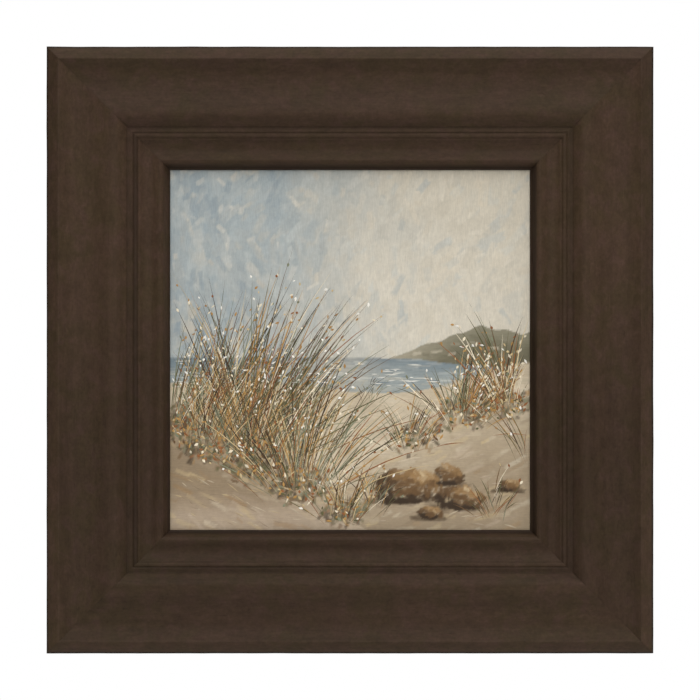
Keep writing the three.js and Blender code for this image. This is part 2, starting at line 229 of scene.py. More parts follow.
def ripple(x, z, seed, reach, waves=10):
    """Smooth unevenness from about -1 to 1: a mean of sine waves in random directions.

    Each wave's length lies between 0.6 and 1.8 times reach.
    """
    rng = np.random.default_rng(seed)
    turn = rng.uniform(0, 2 * math.pi, waves)
    pitch = 2 * math.pi / (reach * rng.uniform(0.6, 1.8, waves))
    shift = rng.uniform(0, 2 * math.pi, waves)
    travel = np.multiply.outer(x, np.cos(turn)) + np.multiply.outer(z, np.sin(turn))
    return np.sin(travel * pitch + shift).sum(axis=-1) / math.sqrt(waves) / 1.2


def smooth_step(value, low, high):
    """0 below low, 1 above high, and 3t^2 - 2t^3 between them."""
    t = np.clip((value - low) / (high - low), 0, 1)
    return t * t * (3 - 2 * t)


def band(value, start, end, fade):
    """1 between start and end, and smooth steps down to 0 over the fade on both sides of them."""
    return smooth_step(value, start - fade, start) * smooth_step(-value, -end - fade, -end)


def joined(rows, columns, start=0):
    """Quads between the neighbours on a rows by columns grid of points, each row a closed ring."""
    index = start + np.arange(rows * columns).reshape(rows, columns)
    index = np.concatenate([index, index[:, :1]], axis=1)
    low, high = index[:-1], index[1:]
    return np.stack([low[:, :-1], low[:, 1:], high[:, 1:], high[:, :-1]], -1).reshape(-1, 4)


def tubes(points):
    """Faces for a stack of closed tubes, points[tube, row, column], each end shut by one face."""
    count, rows, columns = points.shape[:3]
    starts = (np.arange(count) * rows * columns)[:, None, None]
    walls = (joined(rows, columns)[None] + starts).reshape(-1, 4)
    ring = np.arange(columns)
    ends = np.stack([ring[::-1], ring + (rows - 1) * columns])
    return [walls, (ends[None] + starts).reshape(-1, columns)]


# the kind of a point attribute and the field that holds it, by how many numbers a point has
ATTRIBUTE_KINDS = {1: ("FLOAT", "value"), 3: ("FLOAT_VECTOR", "vector"), 4: ("FLOAT_COLOR", "color")}


def set_on_body(name, mesh, node_names):
    """A new object of the mesh on the picture's one body, in place of the named CAD nodes."""
    made_object = bpy.data.objects.new(name, mesh)
    bpy.context.scene.collection.objects.link(made_object)
    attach(made_object, "root")
    if node_names:
        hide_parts(*node_names)
    return made_object


def shade_crisp(mesh, degrees):
    """Smooth shading, with the edges that turn by more than the degrees kept crisp."""
    mesh.shade_smooth()
    mesh.set_sharp_from_angle(angle=math.radians(degrees))


def piece(name, points, faces, finishes, node_names=(), which=None, sharp=35.0, made=None):
    """A new object from points and lists of faces, the faces of each closed shell turned outwards.

    finishes are its materials, and which gives each face's material. Edges that turn by more
    than sharp degrees stay crisp, and made holds point values by attribute name.
    """
    mesh = bpy.data.meshes.new(name)
    corners = np.concatenate([f.ravel() for f in faces]).astype(np.int32)
    sizes = np.concatenate([np.full(len(f), f.shape[1]) for f in faces])
    mesh.vertices.add(len(points))
    mesh.vertices.foreach_set("co", np.ascontiguousarray(points, np.float32).ravel())
    mesh.loops.add(len(corners))
    mesh.loops.foreach_set("vertex_index", corners)
    mesh.polygons.add(len(sizes))
    starts = np.concatenate([[0], np.cumsum(sizes)[:-1]]).astype(np.int32)
    mesh.polygons.foreach_set("loop_start", starts)
    if which is not None:
        mesh.polygons.foreach_set("material_index", np.asarray(which, np.int32))
    mesh.update(calc_edges=True)
    for key, values in (made or {}).items():
        kind, field = ATTRIBUTE_KINDS[values.shape[1]]
        layer = mesh.attributes.new(key, kind, "POINT")
        layer.data.foreach_set(field, np.ascontiguousarray(values, np.float32).ravel())
    for finish in finishes:
        mesh.materials.append(finish)
    shell = bmesh.new()
    shell.from_mesh(mesh)
    bmesh.ops.recalc_face_normals(shell, faces=shell.faces)
    shell.to_mesh(mesh)
    shell.free()
    shade_crisp(mesh, sharp)
    return set_on_body(name, mesh, node_names)


def eased_copy(name, node_names, finish, ease):
    """A piece made of copies of CAD nodes, its flat faces made whole and its edges rubbed round.

    Points closer than the weld are merged and faces that turn by less than the flatness, in
    degrees, are joined. Edges that turn by more than turns degrees are rounded by the ease.
    """
    weld, flatness, turns = 0.002 * MM, 0.6, 35.0
    shell = bmesh.new()
    for node in node_names:
        shell.from_mesh(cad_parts[node].data)
    bmesh.ops.remove_doubles(shell, verts=shell.verts, dist=weld)
    bmesh.ops.dissolve_limit(
        shell, angle_limit=math.radians(flatness), verts=shell.verts, edges=shell.edges
    )
    mesh = bpy.data.meshes.new(name)
    shell.to_mesh(mesh)
    shell.free()
    mesh.materials.append(finish)
    shade_crisp(mesh, turns)
    made_object = set_on_body(name, mesh, node_names)
    bevel = made_object.modifiers.new("eased edges", "BEVEL")
    bevel.width = ease
    bevel.segments = 2
    bevel.limit_method = "ANGLE"
    bevel.angle_limit = math.radians(turns)
    bevel.use_clamp_overlap = True
    bevel.harden_normals = True
    return made_object


# ---- finishes ----


class Finish:
    """A material under way: each call adds nodes and gives back the output that is used next."""

    def __init__(self, name):
        self.material = bpy.data.materials.new(name)
        self.material.use_nodes = True
        self.tree = self.material.node_tree
        self.tree.nodes.clear()

    def feed(self, socket, value):
        """Joins an output to a socket, or gives the socket a value of its own."""
        if isinstance(value, bpy.types.NodeSocket):
            self.tree.links.new(value, socket)
        elif socket.type == "RGBA":
            socket.default_value = (*value, 1.0)
        else:
            socket.default_value = value

    def add(self, kind, out=0, inputs=None, **settings):
        """A node with its settings and inputs, by its inputs' names or places."""
        node = self.tree.nodes.new(kind)
        for key, value in settings.items():
            setattr(node, key, value)
        for key, value in (inputs or {}).items():
            self.feed(node.inputs[key], value)
        return node.outputs[out]

    def place(self):
        """The place on the piece, in metres."""
        return self.add("ShaderNodeTexCoord", out="Object")

    def attribute(self, name, out="Vector"):
        """A value that the piece's points carry."""
        return self.add("ShaderNodeAttribute", out=out, attribute_name=name)

    def scaled(self, vector, scale):
        """A place stretched by a scale along each axis."""
        return self.add("ShaderNodeMapping", inputs={"Vector": vector, "Scale": scale})

    def parts(self, vector):
        """The x, y and z of a vector."""
        return tuple(self.add("ShaderNodeSeparateXYZ", inputs={0: vector}).node.outputs)

    def swapped(self, vector):
        """The place with x and z changed over, for grain that runs upright."""
        x, y, z = self.parts(vector)
        return self.add("ShaderNodeCombineXYZ", inputs={0: z, 1: y, 2: x})

    def noise(self, vector, scale=1.0, detail=4.0, rough=0.55, twist=0.0):
        """Cloudy noise, about 0.5, that changes scale times a metre and finer with detail."""
        return self.add(
            "ShaderNodeTexNoise",
            inputs={"Vector": vector, "Scale": scale, "Detail": detail, "Roughness": rough,
                    "Distortion": twist},
        )

    def math(self, operation, first, second=0.0, third=0.0, clamp=False):
        """Arithmetic on up to three numbers."""
        return self.add(
            "ShaderNodeMath", operation=operation, use_clamp=clamp,
            inputs={0: first, 1: second, 2: third},
        )

    def span(self, value, low, high, to_low=0.0, to_high=1.0):
        """The value carried from low..high to another span, held at its ends."""
        return self.add(
            "ShaderNodeMapRange", clamp=True,
            inputs={"Value": value, "From Min": low, "From Max": high, "To Min": to_low,
                    "To Max": to_high},
        )

    def mix(self, share_of_second, first, second, blend="MIX"):
        """A colour between two, or the second laid over the first in the named way."""
        node = self.add("ShaderNodeMix", data_type="RGBA", blend_type=blend).node
        sockets = {socket.identifier: socket for socket in node.inputs}
        self.feed(sockets["Factor_Float"], share_of_second)
        self.feed(sockets["A_Color"], first)
        self.feed(sockets["B_Color"], second)
        return next(o for o in node.outputs if o.identifier == "Result_Color")

    def shaded(self, colour, shade):
        """A colour made darker or lighter by a number."""
        grey = self.add("ShaderNodeCombineColor", inputs={0: shade, 1: shade, 2: shade})
        return self.mix(1.0, colour, grey, "MULTIPLY")

    def bump(self, height, distance, strength):
        """The surface's tilt from a pattern of heights, distance high at most."""
        return self.add(
            "ShaderNodeBump", inputs={"Height": height, "Distance": distance, "Strength": strength}
        )

    def surface(self, **sockets):
        """Ends the material with a principled shader, sockets named with underscores for gaps."""
        inputs = {key.replace("_", " "): value for key, value in sockets.items()}
        shader = self.add("ShaderNodeBsdfPrincipled", inputs=inputs)
        end = self.tree.nodes.new("ShaderNodeOutputMaterial")
        self.tree.links.new(shader, end.inputs["Surface"])
        return self.material


# how fast each pattern changes along the grain, into the wood and across it, in turns a metre
GROWTH_DRIFT = (2.6, 15, 15)
WOOD_FIBRES = (30, 900, 900)
STAIN_STREAKS = (14, 170, 170)
STAIN_SMEARS = (110, 230, 230)
STAIN_CREEP = (60, 420, 420)
OPEN_PORES = (95, 1500, 1500)
# the same for paint and cloth, by x, y and z
BRISTLES_UPRIGHT = (2300, 300, 150)
BRISTLES_LEVEL = (120, 300, 2300)
WARP_THREADS = (1500, 20, 20)
WEFT_THREADS = (20, 20, 1500)
WEFT_SLUBS = (60, 60, 700)
WEAVE_PITCH = 0.85 * MM


def growth_lines(f, spot, upright, main, dark, rings):
    """Colour, height and fibres of planed wood: lines along the piece, a little wavy.

    The lines are the sawtooth of (depth in the piece times rings) plus a slow drift, each rising
    slowly to its darkest and falling off fast. Fibres lie between them.
    """
    run = f.swapped(spot) if upright else spot
    drift = f.noise(f.scaled(run, GROWTH_DRIFT), detail=3.0, rough=0.42)
    fibres = f.noise(f.scaled(run, WOOD_FIBRES), detail=4.0, rough=0.6)
    _, into, across = f.parts(run)
    depth = f.math("MULTIPLY_ADD", into, 0.7, across)
    phase = f.math("MULTIPLY_ADD", drift, 6.5, f.math("MULTIPLY", depth, rings))
    ring = f.math("FRACT", phase)
    line = f.math("MULTIPLY", f.span(ring, 0.45, 0.93), f.span(ring, 0.93, 1.0, 1.0, 0.0))
    colour = f.mix(f.math("MULTIPLY", line, 0.75), main, dark)
    colour = f.mix(f.span(fibres, 0.42, 0.7, 0.0, 0.5), colour, dark)
    clouds = f.noise(spot, scale=22.0, detail=3.0)
    colour = f.shaded(colour, f.span(clouds, 0.3, 0.7, 0.9, 1.06))
    return colour, f.math("ADD", f.math("MULTIPLY", line, 0.5), fibres), fibres


def back_margin(f, spot):
    """Distance of a point on the frame's back from the nearer edge of it.

    In from the outer side is the half side less the greater of |x| and |z|; the margin is the
    lesser of that and what is left of the rail's flat back.
    """
    x, _, z = f.parts(spot)
    across = f.math("ABSOLUTE", x)
    upward = f.math("ABSOLUTE", f.math("SUBTRACT", z, CENTRE_Z))
    inward = f.math("SUBTRACT", FRAME_HALF, f.math("MAXIMUM", across, upward))
    return f.math("MINIMUM", inward, f.math("SUBTRACT", BACK_WIDTH, inward))


def stained_finish(settings, upright):
    """Dark stained wood: long streaks and pores along the rail, slow patches of three browns.

    The piece's own edge values say where an arris is rubbed lighter, where dark wax and painted
    shade lie and where the flat back is. Its tone value is painted shade, each rail darker or
    lighter as light falls on it. The flat back is bare planed wood, with a haze of stain at its
    margins and an edge where the stain has crept along the grain.
    """
    f = Finish("stained_wood_upright" if upright else "stained_wood_level")
    spot = f.place()
    run = f.swapped(spot) if upright else spot
    streaks = f.noise(f.scaled(run, STAIN_STREAKS), detail=6.0, rough=0.6, twist=0.4)
    pores = f.noise(f.scaled(run, OPEN_PORES), detail=3.0, rough=0.6)
    patches = f.noise(spot, scale=26.0, detail=4.0, rough=0.55)
    blots = f.noise(spot, scale=75.0, detail=5.0, rough=0.6, twist=0.6)
    specks = f.noise(spot, scale=420.0, detail=2.0)
    smears = f.noise(f.scaled(run, STAIN_SMEARS), detail=5.0, rough=0.65, twist=0.8)
    colour = f.mix(f.span(patches, 0.42, 0.60), settings.brown, settings.olive)
    colour = f.mix(f.span(blots, 0.48, 0.66, 0.0, 0.75), colour, settings.russet)
    shade = f.math("MULTIPLY", f.span(streaks, 0.3, 0.7, 0.91, 1.09),
                   f.span(blots, 0.3, 0.7, 0.89, 1.11))
    shade = f.math("MULTIPLY", shade, f.span(smears, 0.32, 0.68, 0.88, 1.14))
    shade = f.math("MULTIPLY", shade, f.span(pores, 0.28, 0.42, 0.80, 1.0))
    shade = f.math("MULTIPLY", shade, f.span(specks, 0.30, 0.70, 0.90, 1.10))
    # painted shade: the tone value makes each rail darker or lighter as light falls on it
    shade = f.math("MULTIPLY", shade, f.attribute("painted_shade", out="Fac"))
    colour = f.shaded(colour, shade)
    arris, wax_and_shade_share, behind = f.parts(f.attribute("edge"))
    rubbed = f.math("MULTIPLY", arris, f.span(blots, 0.36, 0.62, 0.10, 0.5))
    colour = f.mix(rubbed, colour, settings.worn)
    # dark wax in the grooves and mitres, and painted shade on the rim, fillet, bead and lip
    colour = f.mix(f.math("MULTIPLY", wax_and_shade_share, 0.3, clamp=True), colour, settings.wax_and_shade_colour)
    plain = tuple(settings.bare)
    bare, _, _ = growth_lines(f, spot, upright, plain, tuple(c * 0.62 for c in plain), 105.0)
    margin = back_margin(f, spot)
    haze = f.span(margin, 0.5 * MM, 16 * MM, 0.42, 0.0)
    bare = f.mix(haze, bare, settings.brown)
    creep = f.noise(f.scaled(run, STAIN_CREEP), detail=5.0, rough=0.6)
    crept = f.math("ADD", margin, f.span(creep, 0.3, 0.7, -1.5 * MM, 1.5 * MM))
    shown = f.math("MULTIPLY", f.span(crept, 0.6 * MM, 4.0 * MM), behind)
    colour = f.mix(shown, colour, bare)
    rough = f.math("ADD", f.span(blots, 0.3, 0.7, 0.50, 0.62), f.span(pores, 0.3, 0.5, 0.12, 0.0))
    height = f.math("ADD", f.math("MULTIPLY", pores, 0.6), f.math("MULTIPLY", streaks, 0.5))
    return f.surface(
        Base_Color=colour, Roughness=rough, Specular_IOR_Level=0.08,
        Normal=f.bump(height, 0.07 * MM, 0.8),
    )


def woven(f, spot, pitch):
    """Height of a plain weave: the product of two sines, one along x and one along z."""
    x, _, z = f.parts(spot)
    turns = 2 * math.pi / pitch
    across = f.math("SINE", f.math("MULTIPLY", x, turns))
    upward = f.math("SINE", f.math("MULTIPLY", z, turns))
    return f.math("MULTIPLY_ADD", f.math("MULTIPLY", across, upward), 0.5, 0.5)


def painted_finish():
    """Matt brushed paint: the piece's own colours, with bristle lines over the cloth's weave.

    The paint attribute's fourth value says which way the bristles ran, 0 upright and 1 level.
    """
    f = Finish("brushed_paint")
    spot = f.place()
    colour = f.attribute("paint", out="Color")
    way = f.attribute("paint", out="Alpha")
    upright = f.noise(f.scaled(spot, BRISTLES_UPRIGHT), detail=4.0, rough=0.65)
    level = f.noise(f.scaled(spot, BRISTLES_LEVEL), detail=4.0, rough=0.65)
    bristles = f.add("ShaderNodeMix", out=0, inputs={0: way, 2: upright, 3: level})
    mottle = f.noise(spot, scale=380.0, detail=5.0, rough=0.65)
    shade = f.math("MULTIPLY", f.span(bristles, 0.28, 0.72, 0.88, 1.12),
                   f.span(mottle, 0.3, 0.7, 0.94, 1.06))
    colour = f.shaded(colour, shade)
    weave = woven(f, spot, WEAVE_PITCH)
    height = f.math("ADD", f.math("MULTIPLY", bristles, 1.2), f.math("MULTIPLY", weave, 0.22))
    rough = f.span(bristles, 0.3, 0.7, 0.56, 0.74)
    return f.surface(
        Base_Color=colour, Roughness=rough, Specular_IOR_Level=0.25,
        Normal=f.bump(height, 0.09 * MM, 0.8),
    )


def cloth_finish(name, main, dark):
    """Plain woven cloth: thread by thread changes of colour and a raised over and under weave."""
    f = Finish(name)
    spot = f.place()
    weave = woven(f, spot, WEAVE_PITCH)
    warp = f.noise(f.scaled(spot, WARP_THREADS), detail=2.0)
    weft = f.noise(f.scaled(spot, WEFT_THREADS), detail=2.0)
    slubs = f.noise(f.scaled(spot, WEFT_SLUBS), detail=3.0)
    stains = f.noise(spot, scale=24.0, detail=4.0)
    colour = f.mix(f.span(f.math("ADD", warp, weft), 0.8, 1.2), dark, main)
    colour = f.mix(f.span(weave, 0.0, 0.6, 0.45, 0.0), colour, dark)
    shade = f.math("MULTIPLY", f.span(stains, 0.3, 0.7, 0.93, 1.04),
                   f.span(slubs, 0.6, 0.75, 1.0, 0.84))
    colour = f.shaded(colour, shade)
    height = f.math("ADD", weave, f.math("MULTIPLY", slubs, 0.5))
    return f.surface(
        Base_Color=colour, Roughness=f.span(weave, 0.0, 1.0, 0.92, 0.82),
        Specular_IOR_Level=0.15, Normal=f.bump(height, 0.12 * MM, 0.9),
    )


def planed_finish(name, main, dark, upright, rings=150.0):
    """Bare planed wood: growth lines and fine fibres along the piece."""
    f = Finish(name)
    colour, height, fibres = growth_lines(f, f.place(), upright, main, dark, rings)
    return f.surface(
        Base_Color=colour, Roughness=f.span(fibres, 0.3, 0.7, 0.55, 0.74),
        Specular_IOR_Level=0.3, Normal=f.bump(height, 0.06 * MM, 0.8),
    )


def metal_finish(name, main, tarnish, smooth, scratch_scale=900.0):
    """Plated metal: fine drawn scratches, cloudy plating and darker tarnish in patches."""
    f = Finish(name)
    spot = f.place()
    clouds = f.noise(spot, scale=190.0, detail=4.0, rough=0.6)
    scratches = f.noise(f.scaled(spot, (scratch_scale, scratch_scale, 60)), detail=3.0)
    freckles = f.noise(spot, scale=1300.0, detail=2.0)
    colour = f.mix(f.span(clouds, 0.46, 0.68, 0.0, 0.7), main, tarnish)
    colour = f.mix(f.span(freckles, 0.6, 0.72, 0.0, 0.5), colour, tarnish)
    rough = f.math("ADD", f.span(clouds, 0.35, 0.65, smooth, smooth + 0.14),
                   f.span(scratches, 0.4, 0.6, 0.0, 0.07))
    height = f.math("ADD", scratches, f.math("MULTIPLY", freckles, 0.5))
    return f.surface(
        Base_Color=colour, Metallic=1.0, Roughness=rough, Normal=f.bump(height, 0.02 * MM, 0.7)
    )


def rubber_finish(main):
    """Black moulded rubber with a fine grain, dust in its dips and a slight bloom."""
    f = Finish("bumper_rubber")
    spot = f.place()
    grain = f.noise(spot, scale=1700.0, detail=3.0)
    bloom = f.noise(spot, scale=160.0, detail=4.0)
    dusty = tuple(c * 2.6 + 0.01 for c in main)
    colour = f.mix(f.span(bloom, 0.45, 0.7, 0.0, 0.7), main, dusty)
    colour = f.mix(f.span(grain, 0.32, 0.45, 0.5, 0.0), colour, dusty)
    return f.surface(
        Base_Color=colour, Roughness=f.span(bloom, 0.3, 0.7, 0.68, 0.86),
        Specular_IOR_Level=0.3, Normal=f.bump(grain, 0.05 * MM, 0.8),
    )


def floor_finish(main):
    """Pale matt floor with a very faint mottle."""
    f = Finish("pale_floor")
    mottle = f.noise(f.place(), scale=9.0, detail=5.0)
    colour = f.mix(f.span(mottle, 0.3, 0.7), main, tuple(c * 0.985 for c in main))
    return f.surface(Base_Color=colour, Roughness=0.8, Specular_IOR_Level=0.2)


# ---- moulding ----

SECTION_STEP = 0.1 * MM
SECTION_POINTS = 190
RAIL_STATIONS = 96
BACK_WIDTH = 95.5 * MM

# painted shade on each length of moulding, set by how light falls on its side: its tone, the drift
# of that to its clockwise end, the painted shade on its rim, fillet and bead, and where in mm from
# the outer side its lip starts, a dark sight edge deepened by painted shade
RAIL_SHADE_AND_WAX = {
    "top": dict(painted_shade=1.000, drift=0.03, rim=2.0, fillet=0.0, bead=0.0, lip=96.6),
    "right": dict(painted_shade=0.985, drift=-0.17, rim=2.4, fillet=0.7, bead=0.5, lip=95.3),
    "bottom": dict(painted_shade=0.860, drift=-0.05, rim=2.7, fillet=0.7, bead=0.1, lip=96.9),
    "left": dict(painted_shade=0.975, drift=0.15, rim=1.7, fillet=0.6, bead=1.5, lip=98.2),
}
# where those lie: start, end and fade in mm in from the outer side
RIM = (-1.0, 1.1, 0.8)
FILLET = (67.0, 70.5, 0.7)
BEAD = (72.0, 74.8, 0.8)
# strength of the lip's dark sight edge deepened by painted shade, and the mm over which it fades in
LIP_WAX_AND_SHADE, LIP_FADE = 2.1, 2.2
# where in mm from the outer side the drift of the painted shade sets in
DRIFT_SETS_IN = (9, 13)
# lengths of the front's slow and quick waver, and the distances from a mitre in which its eased
# line and its wax fall to about a third
SLOW_WAVER, QUICK_WAVER = 60 * MM, 14 * MM
MITRE_EASED, MITRE_WAXED = 0.45 * MM, 0.8 * MM


def moulding_section(ease):
    """The moulding's closed outline: its points (in, off back), its normals and its bend.

    The curves are walked at even steps and smoothed by a bell curve of width ease, which rounds
    every arris. Points are then chosen closer together where the outline bends more, by the root
    of the bend, and further apart behind. Bend is the turn per metre, positive on arrises and
    negative in grooves.
    """
    raw = np.concatenate([bezier(curve, 40) for curve in MOULDING_CURVES]) * MM
    walked = along(raw, closed=True)
    count = int(walked[-1] / SECTION_STEP)
    even = np.arange(count) * walked[-1] / count
    shut = np.concatenate([raw, raw[:1]])
    line = np.stack([np.interp(even, walked, shut[:, axis]) for axis in (0, 1)], axis=1)

    def blurred(values, width):
        """Values round the outline smoothed by a bell curve of the width."""
        waves = np.fft.rfftfreq(count, walked[-1] / count)
        bell = np.exp(-2 * (math.pi * waves * width) ** 2)
        return np.fft.irfft(np.fft.rfft(values, axis=0) * bell[:, None], count, axis=0)

    line = blurred(line, ease)
    tangent = np.roll(line, -1, axis=0) - np.roll(line, 1, axis=0)
    tangent /= np.linalg.norm(tangent, axis=1, keepdims=True)
    normal = np.stack([-tangent[:, 1], tangent[:, 0]], axis=1)
    ahead, behind = np.roll(tangent, -1, axis=0), np.roll(tangent, 1, axis=0)
    turn = behind[:, 0] * ahead[:, 1] - behind[:, 1] * ahead[:, 0]
    bend = -turn / (2 * walked[-1] / count)
    straight_gap, crowding, unseen_share = 4.0 * MM, 60, 0.35
    weight = 1 / straight_gap + crowding * np.abs(blurred(bend[:, None], 0.3 * MM)[:, 0]) ** 0.5
    front = smooth_step(line[:, 1], 8 * MM, 24 * MM)
    weight *= unseen_share + (1 - unseen_share) * front
    summed = np.concatenate([[0], np.cumsum(weight)])
    wanted = np.arange(SECTION_POINTS) * summed[-1] / SECTION_POINTS
    pick = np.interp(wanted, summed, np.arange(count + 1)) % count
    chosen = np.round(pick).astype(int) % count
    soft_bend = blurred(bend[:, None], 0.7 * MM)[:, 0]
    return line[chosen], normal[chosen], soft_bend[chosen]


def rail_stations():
    """Shares of a rail's half length where sections stand, crowded close to both mitres."""
    near = 1 - np.array([0.0, 0.0006, 0.0014, 0.0028, 0.006, 0.014])
    middle = np.linspace(-0.974, 0.974, RAIL_STATIONS - 2 * len(near))
    return np.concatenate([-near, middle, near[::-1]])


def build_rail(side, section, settings, finish):
    """One rail: the section carried from mitre to mitre, at stations that share its half length.

    The half length at a point is the frame's half side less its distance in, so both ends are
    flat 45 degree faces. The front wavers by slow ripples and sinks a hair's breadth along each
    mitre, falling away with distance from it. The painted shade of each rail, its tone set by how
    light falls on its side, follows a sine of the place. The arris value is a smooth step of the
    bend, and the darkening value the most of the painted shade on the rim, fillet and bead bands,
    the lip's dark edge with its painted shade, the grooves' and the mitre's.
    """
    outline, normal, bend = section
    share_along = rail_stations()[:, None]
    half = FRAME_HALF - outline[:, 0][None]
    place = share_along * half
    faces_front = smooth_step(outline[:, 1], 20 * MM, 27 * MM)[None]
    slow = ripple(place, outline[:, 0][None] + side * 0.7, 31 + side, SLOW_WAVER)
    quick = ripple(place, outline[:, 0][None] + side * 0.7, 41 + side, QUICK_WAVER)
    from_mitre = half - np.abs(place)
    sink = settings.joint * np.exp(-from_mitre / MITRE_EASED)
    shift = (settings.waver * (0.7 * slow + 0.3 * quick) - sink) * faces_front
    inward = outline[:, 0][None] + normal[:, 0][None] * shift
    height = outline[:, 1][None] + normal[:, 1][None] * shift
    place = share_along * (FRAME_HALF - inward)
    points = on_side(side, place, FRAME_HALF - inward, height)
    name = SIDES[side]
    # this rail's painted shade: its tone, drift, and the painted shade on rim, fillet, bead and lip
    stain = RAIL_SHADE_AND_WAX[name]
    inner = outline[:, 0] / MM
    rubbed = smooth_step(bend, 60, 700)[None] * faces_front * (inner < 90)
    rubbed = rubbed * np.clip(0.75 + 0.5 * slow, 0, 1)
    groove = smooth_step(-bend, 60, 500) * (inner > 60)
    in_mitre = 0.25 * np.exp(-from_mitre / MITRE_WAXED)
    # painted shade on the rim, fillet and bead bands, set per side by how light falls; the lip's
    # dark edge with painted shade; darker grooves and mitre lines
    wax_and_shade_share = np.maximum.reduce([
        stain["rim"] * band(inner, *RIM), stain["fillet"] * band(inner, *FILLET),
        stain["bead"] * band(inner, *BEAD),
        LIP_WAX_AND_SHADE * smooth_step(inner, stain["lip"], stain["lip"] + LIP_FADE), groove,
    ])
    wax_and_shade_share = np.maximum(wax_and_shade_share[None], in_mitre) * faces_front
    behind = outline[None, :, 1] < 0.3 * MM
    edge = np.stack(np.broadcast_arrays(rubbed, wax_and_shade_share, behind), axis=-1)
    # painted shade: each rail's tone and its drift along it stand in for how the light falls
    drift = stain["drift"] * smooth_step(inner[None], *DRIFT_SETS_IN)
    turn = np.clip(2.2 * place / FRAME_HALF, -1, 1) * math.pi / 2
    painted_shade = stain["painted_shade"] * (1 + drift * np.sin(turn))
    return piece(
        f"moulding_{name}", points.reshape(-1, 3), tubes(points[None]), [finish],
        [f"rail_{name}"], made={"edge": edge.reshape(-1, 3), "painted_shade": painted_shade.reshape(-1, 1)},
        sharp=60.0,
    )


# ---- painted picture ----

PAINT_STEP = 0.5 * MM
PAINT_HALF = 152.5 * MM
PAINT_CELLS = int(2 * PAINT_HALF / PAINT_STEP)
MARKS_STOP = 5.2 * MM


def linear(*screen):
    """Screen values 0 to 255 as linear light: the usual 2.4 power curve with its straight toe."""
    value = np.asarray(screen, float) / 255
    return np.where(value <= 0.04045, value / 12.92, ((value + 0.055) / 1.055) ** 2.4)


PALETTE = {
    "sky_cool": linear(158, 167, 169),
    "sky_deep": linear(134, 147, 154),
    "sky_pale": linear(186, 189, 184),
    "sky_warm": linear(198, 190, 173),
    "sky_light": linear(212, 205, 190),
    "haze": linear(203, 192, 172),
    "headland": linear(134, 129, 109),
    "headland_shade": linear(108, 103, 83),
    "sea_far": linear(112, 126, 133),
    "sea_near": linear(146, 154, 153),
    "foam": linear(220, 217, 207),
    "sand_light": linear(203, 189, 165),
    "sand": linear(181, 165, 140),
    "sand_shade": linear(141, 123, 99),
    "sand_rose": linear(188, 170, 150),
    "sage": linear(124, 127, 103),
    "olive": linear(92, 88, 58),
    "ochre": linear(171, 132, 76),
    "rust": linear(141, 90, 52),
    "straw": linear(199, 177, 134),
    "cream": linear(226, 214, 189),
    "white": linear(238, 234, 225),
    "umber": linear(56, 42, 28),
    "bronze": linear(101, 75, 47),
    "bronze_light": linear(151, 119, 79),
    "stone_light": linear(196, 174, 138),
}


def blend(first, second, share_of_second):
    """Colours between two, by a share that may be an array."""
    portion = np.asarray(share_of_second, float)[..., None]
    return np.asarray(first) * (1 - portion) + np.asarray(second) * portion


# places in the picture are shares of its side: p from the left, q from the bottom
HORIZON = 0.478


def headland(p):
    """Height of the far headland: it rises out of the sea to a broken top on the right."""
    top = 0.080 * smooth_step(p, 0.57, 0.84) * (1 + 0.10 * np.sin(p * 31) + 0.05 * np.sin(p * 83))
    return HORIZON - 0.004 + top


def beach(p):
    """Height at which the far beach meets the sea."""
    return 0.402 + 0.018 * np.sin(p * 7 + 0.4) + 0.05 * smooth_step(p, 0.62, 1.0)


def dune_right(p):
    """Height of the right dune's crest: it rises from the middle to the right edge."""
    return 0.165 + 0.245 * smooth_step(p, 0.34, 1.0) + 0.012 * np.sin(p * 23 + 1)


def dune_left(p):
    """Height of the near left dune's crest: a falling slope with a slow hump."""
    return 0.345 - 0.40 * smooth_step(p, 0.02, 0.74) + 0.018 * np.sin(p * 19) * (1 - p)


def ground_colour(p, q):
    """The coast before any brush marks, and which part each point is in.

    Parts from back to front are sky 0, headland 1, sea 2, beach 3, right dune 4 and left dune 5.
    Each part's colour slides between palette colours by smooth steps of the place in it, and the
    sky and the dunes are broken up by slow ripples.
    """
    c = PALETTE
    slow = ripple(p, q, 21, 0.30)
    quick = ripple(p, q, 22, 0.11)
    sky = blend(c["sky_cool"], c["sky_warm"], smooth_step(p + 0.10 * slow, 0.22, 0.80))
    deep = smooth_step(slow + 0.6 * quick, -0.2, 1.2) * smooth_step(-p, -0.62, -0.05)
    sky = blend(sky, c["sky_deep"], 0.6 * deep)
    glow = np.exp(-(((p - 0.66) / 0.30) ** 2) - ((q - 0.62) / 0.20) ** 2)
    sky = blend(sky, c["sky_light"], 0.75 * glow + 0.12 * smooth_step(quick, 0.2, 1.0))
    land = blend(c["headland"], c["headland_shade"], smooth_step(headland(p) - q, 0.0, 0.06))
    land = blend(land, c["haze"], 0.35 * smooth_step(-p, -0.80, -0.58))
    sea = blend(c["sea_far"], c["sea_near"], smooth_step(HORIZON - q, 0.0, 0.06))
    sea = blend(sea, c["haze"], 0.45 * np.exp(-(((p - 0.44) / 0.13) ** 2)))
    far = blend(c["sand_light"], c["sand"], 0.4 + 0.3 * quick)
    right_depth = dune_right(p) - q
    right = blend(c["sand_light"], c["sand"], smooth_step(right_depth + 0.02 * quick, 0.0, 0.08))
    right = blend(right, c["sand_shade"], 0.7 * smooth_step(right_depth, 0.04, 0.26))
    left_depth = dune_left(p) - q
    left = blend(c["sand"], c["sand_shade"], smooth_step(left_depth + 0.02 * slow, 0.0, 0.15))
    left = blend(left, c["sand_rose"], 0.55 * np.exp(-(((q - 0.04) / 0.05) ** 2)))
    part = np.zeros(np.shape(p), int)
    part[q < headland(p)] = 1
    part[q < HORIZON - 0.022 * smooth_step(p, 0.57, 0.90)] = 2
    part[q < beach(p)] = 3
    part[q < dune_right(p)] = 4
    part[q < dune_left(p)] = 5
    return np.choose(part[..., None], [sky, land, sea, far, right, left]), part


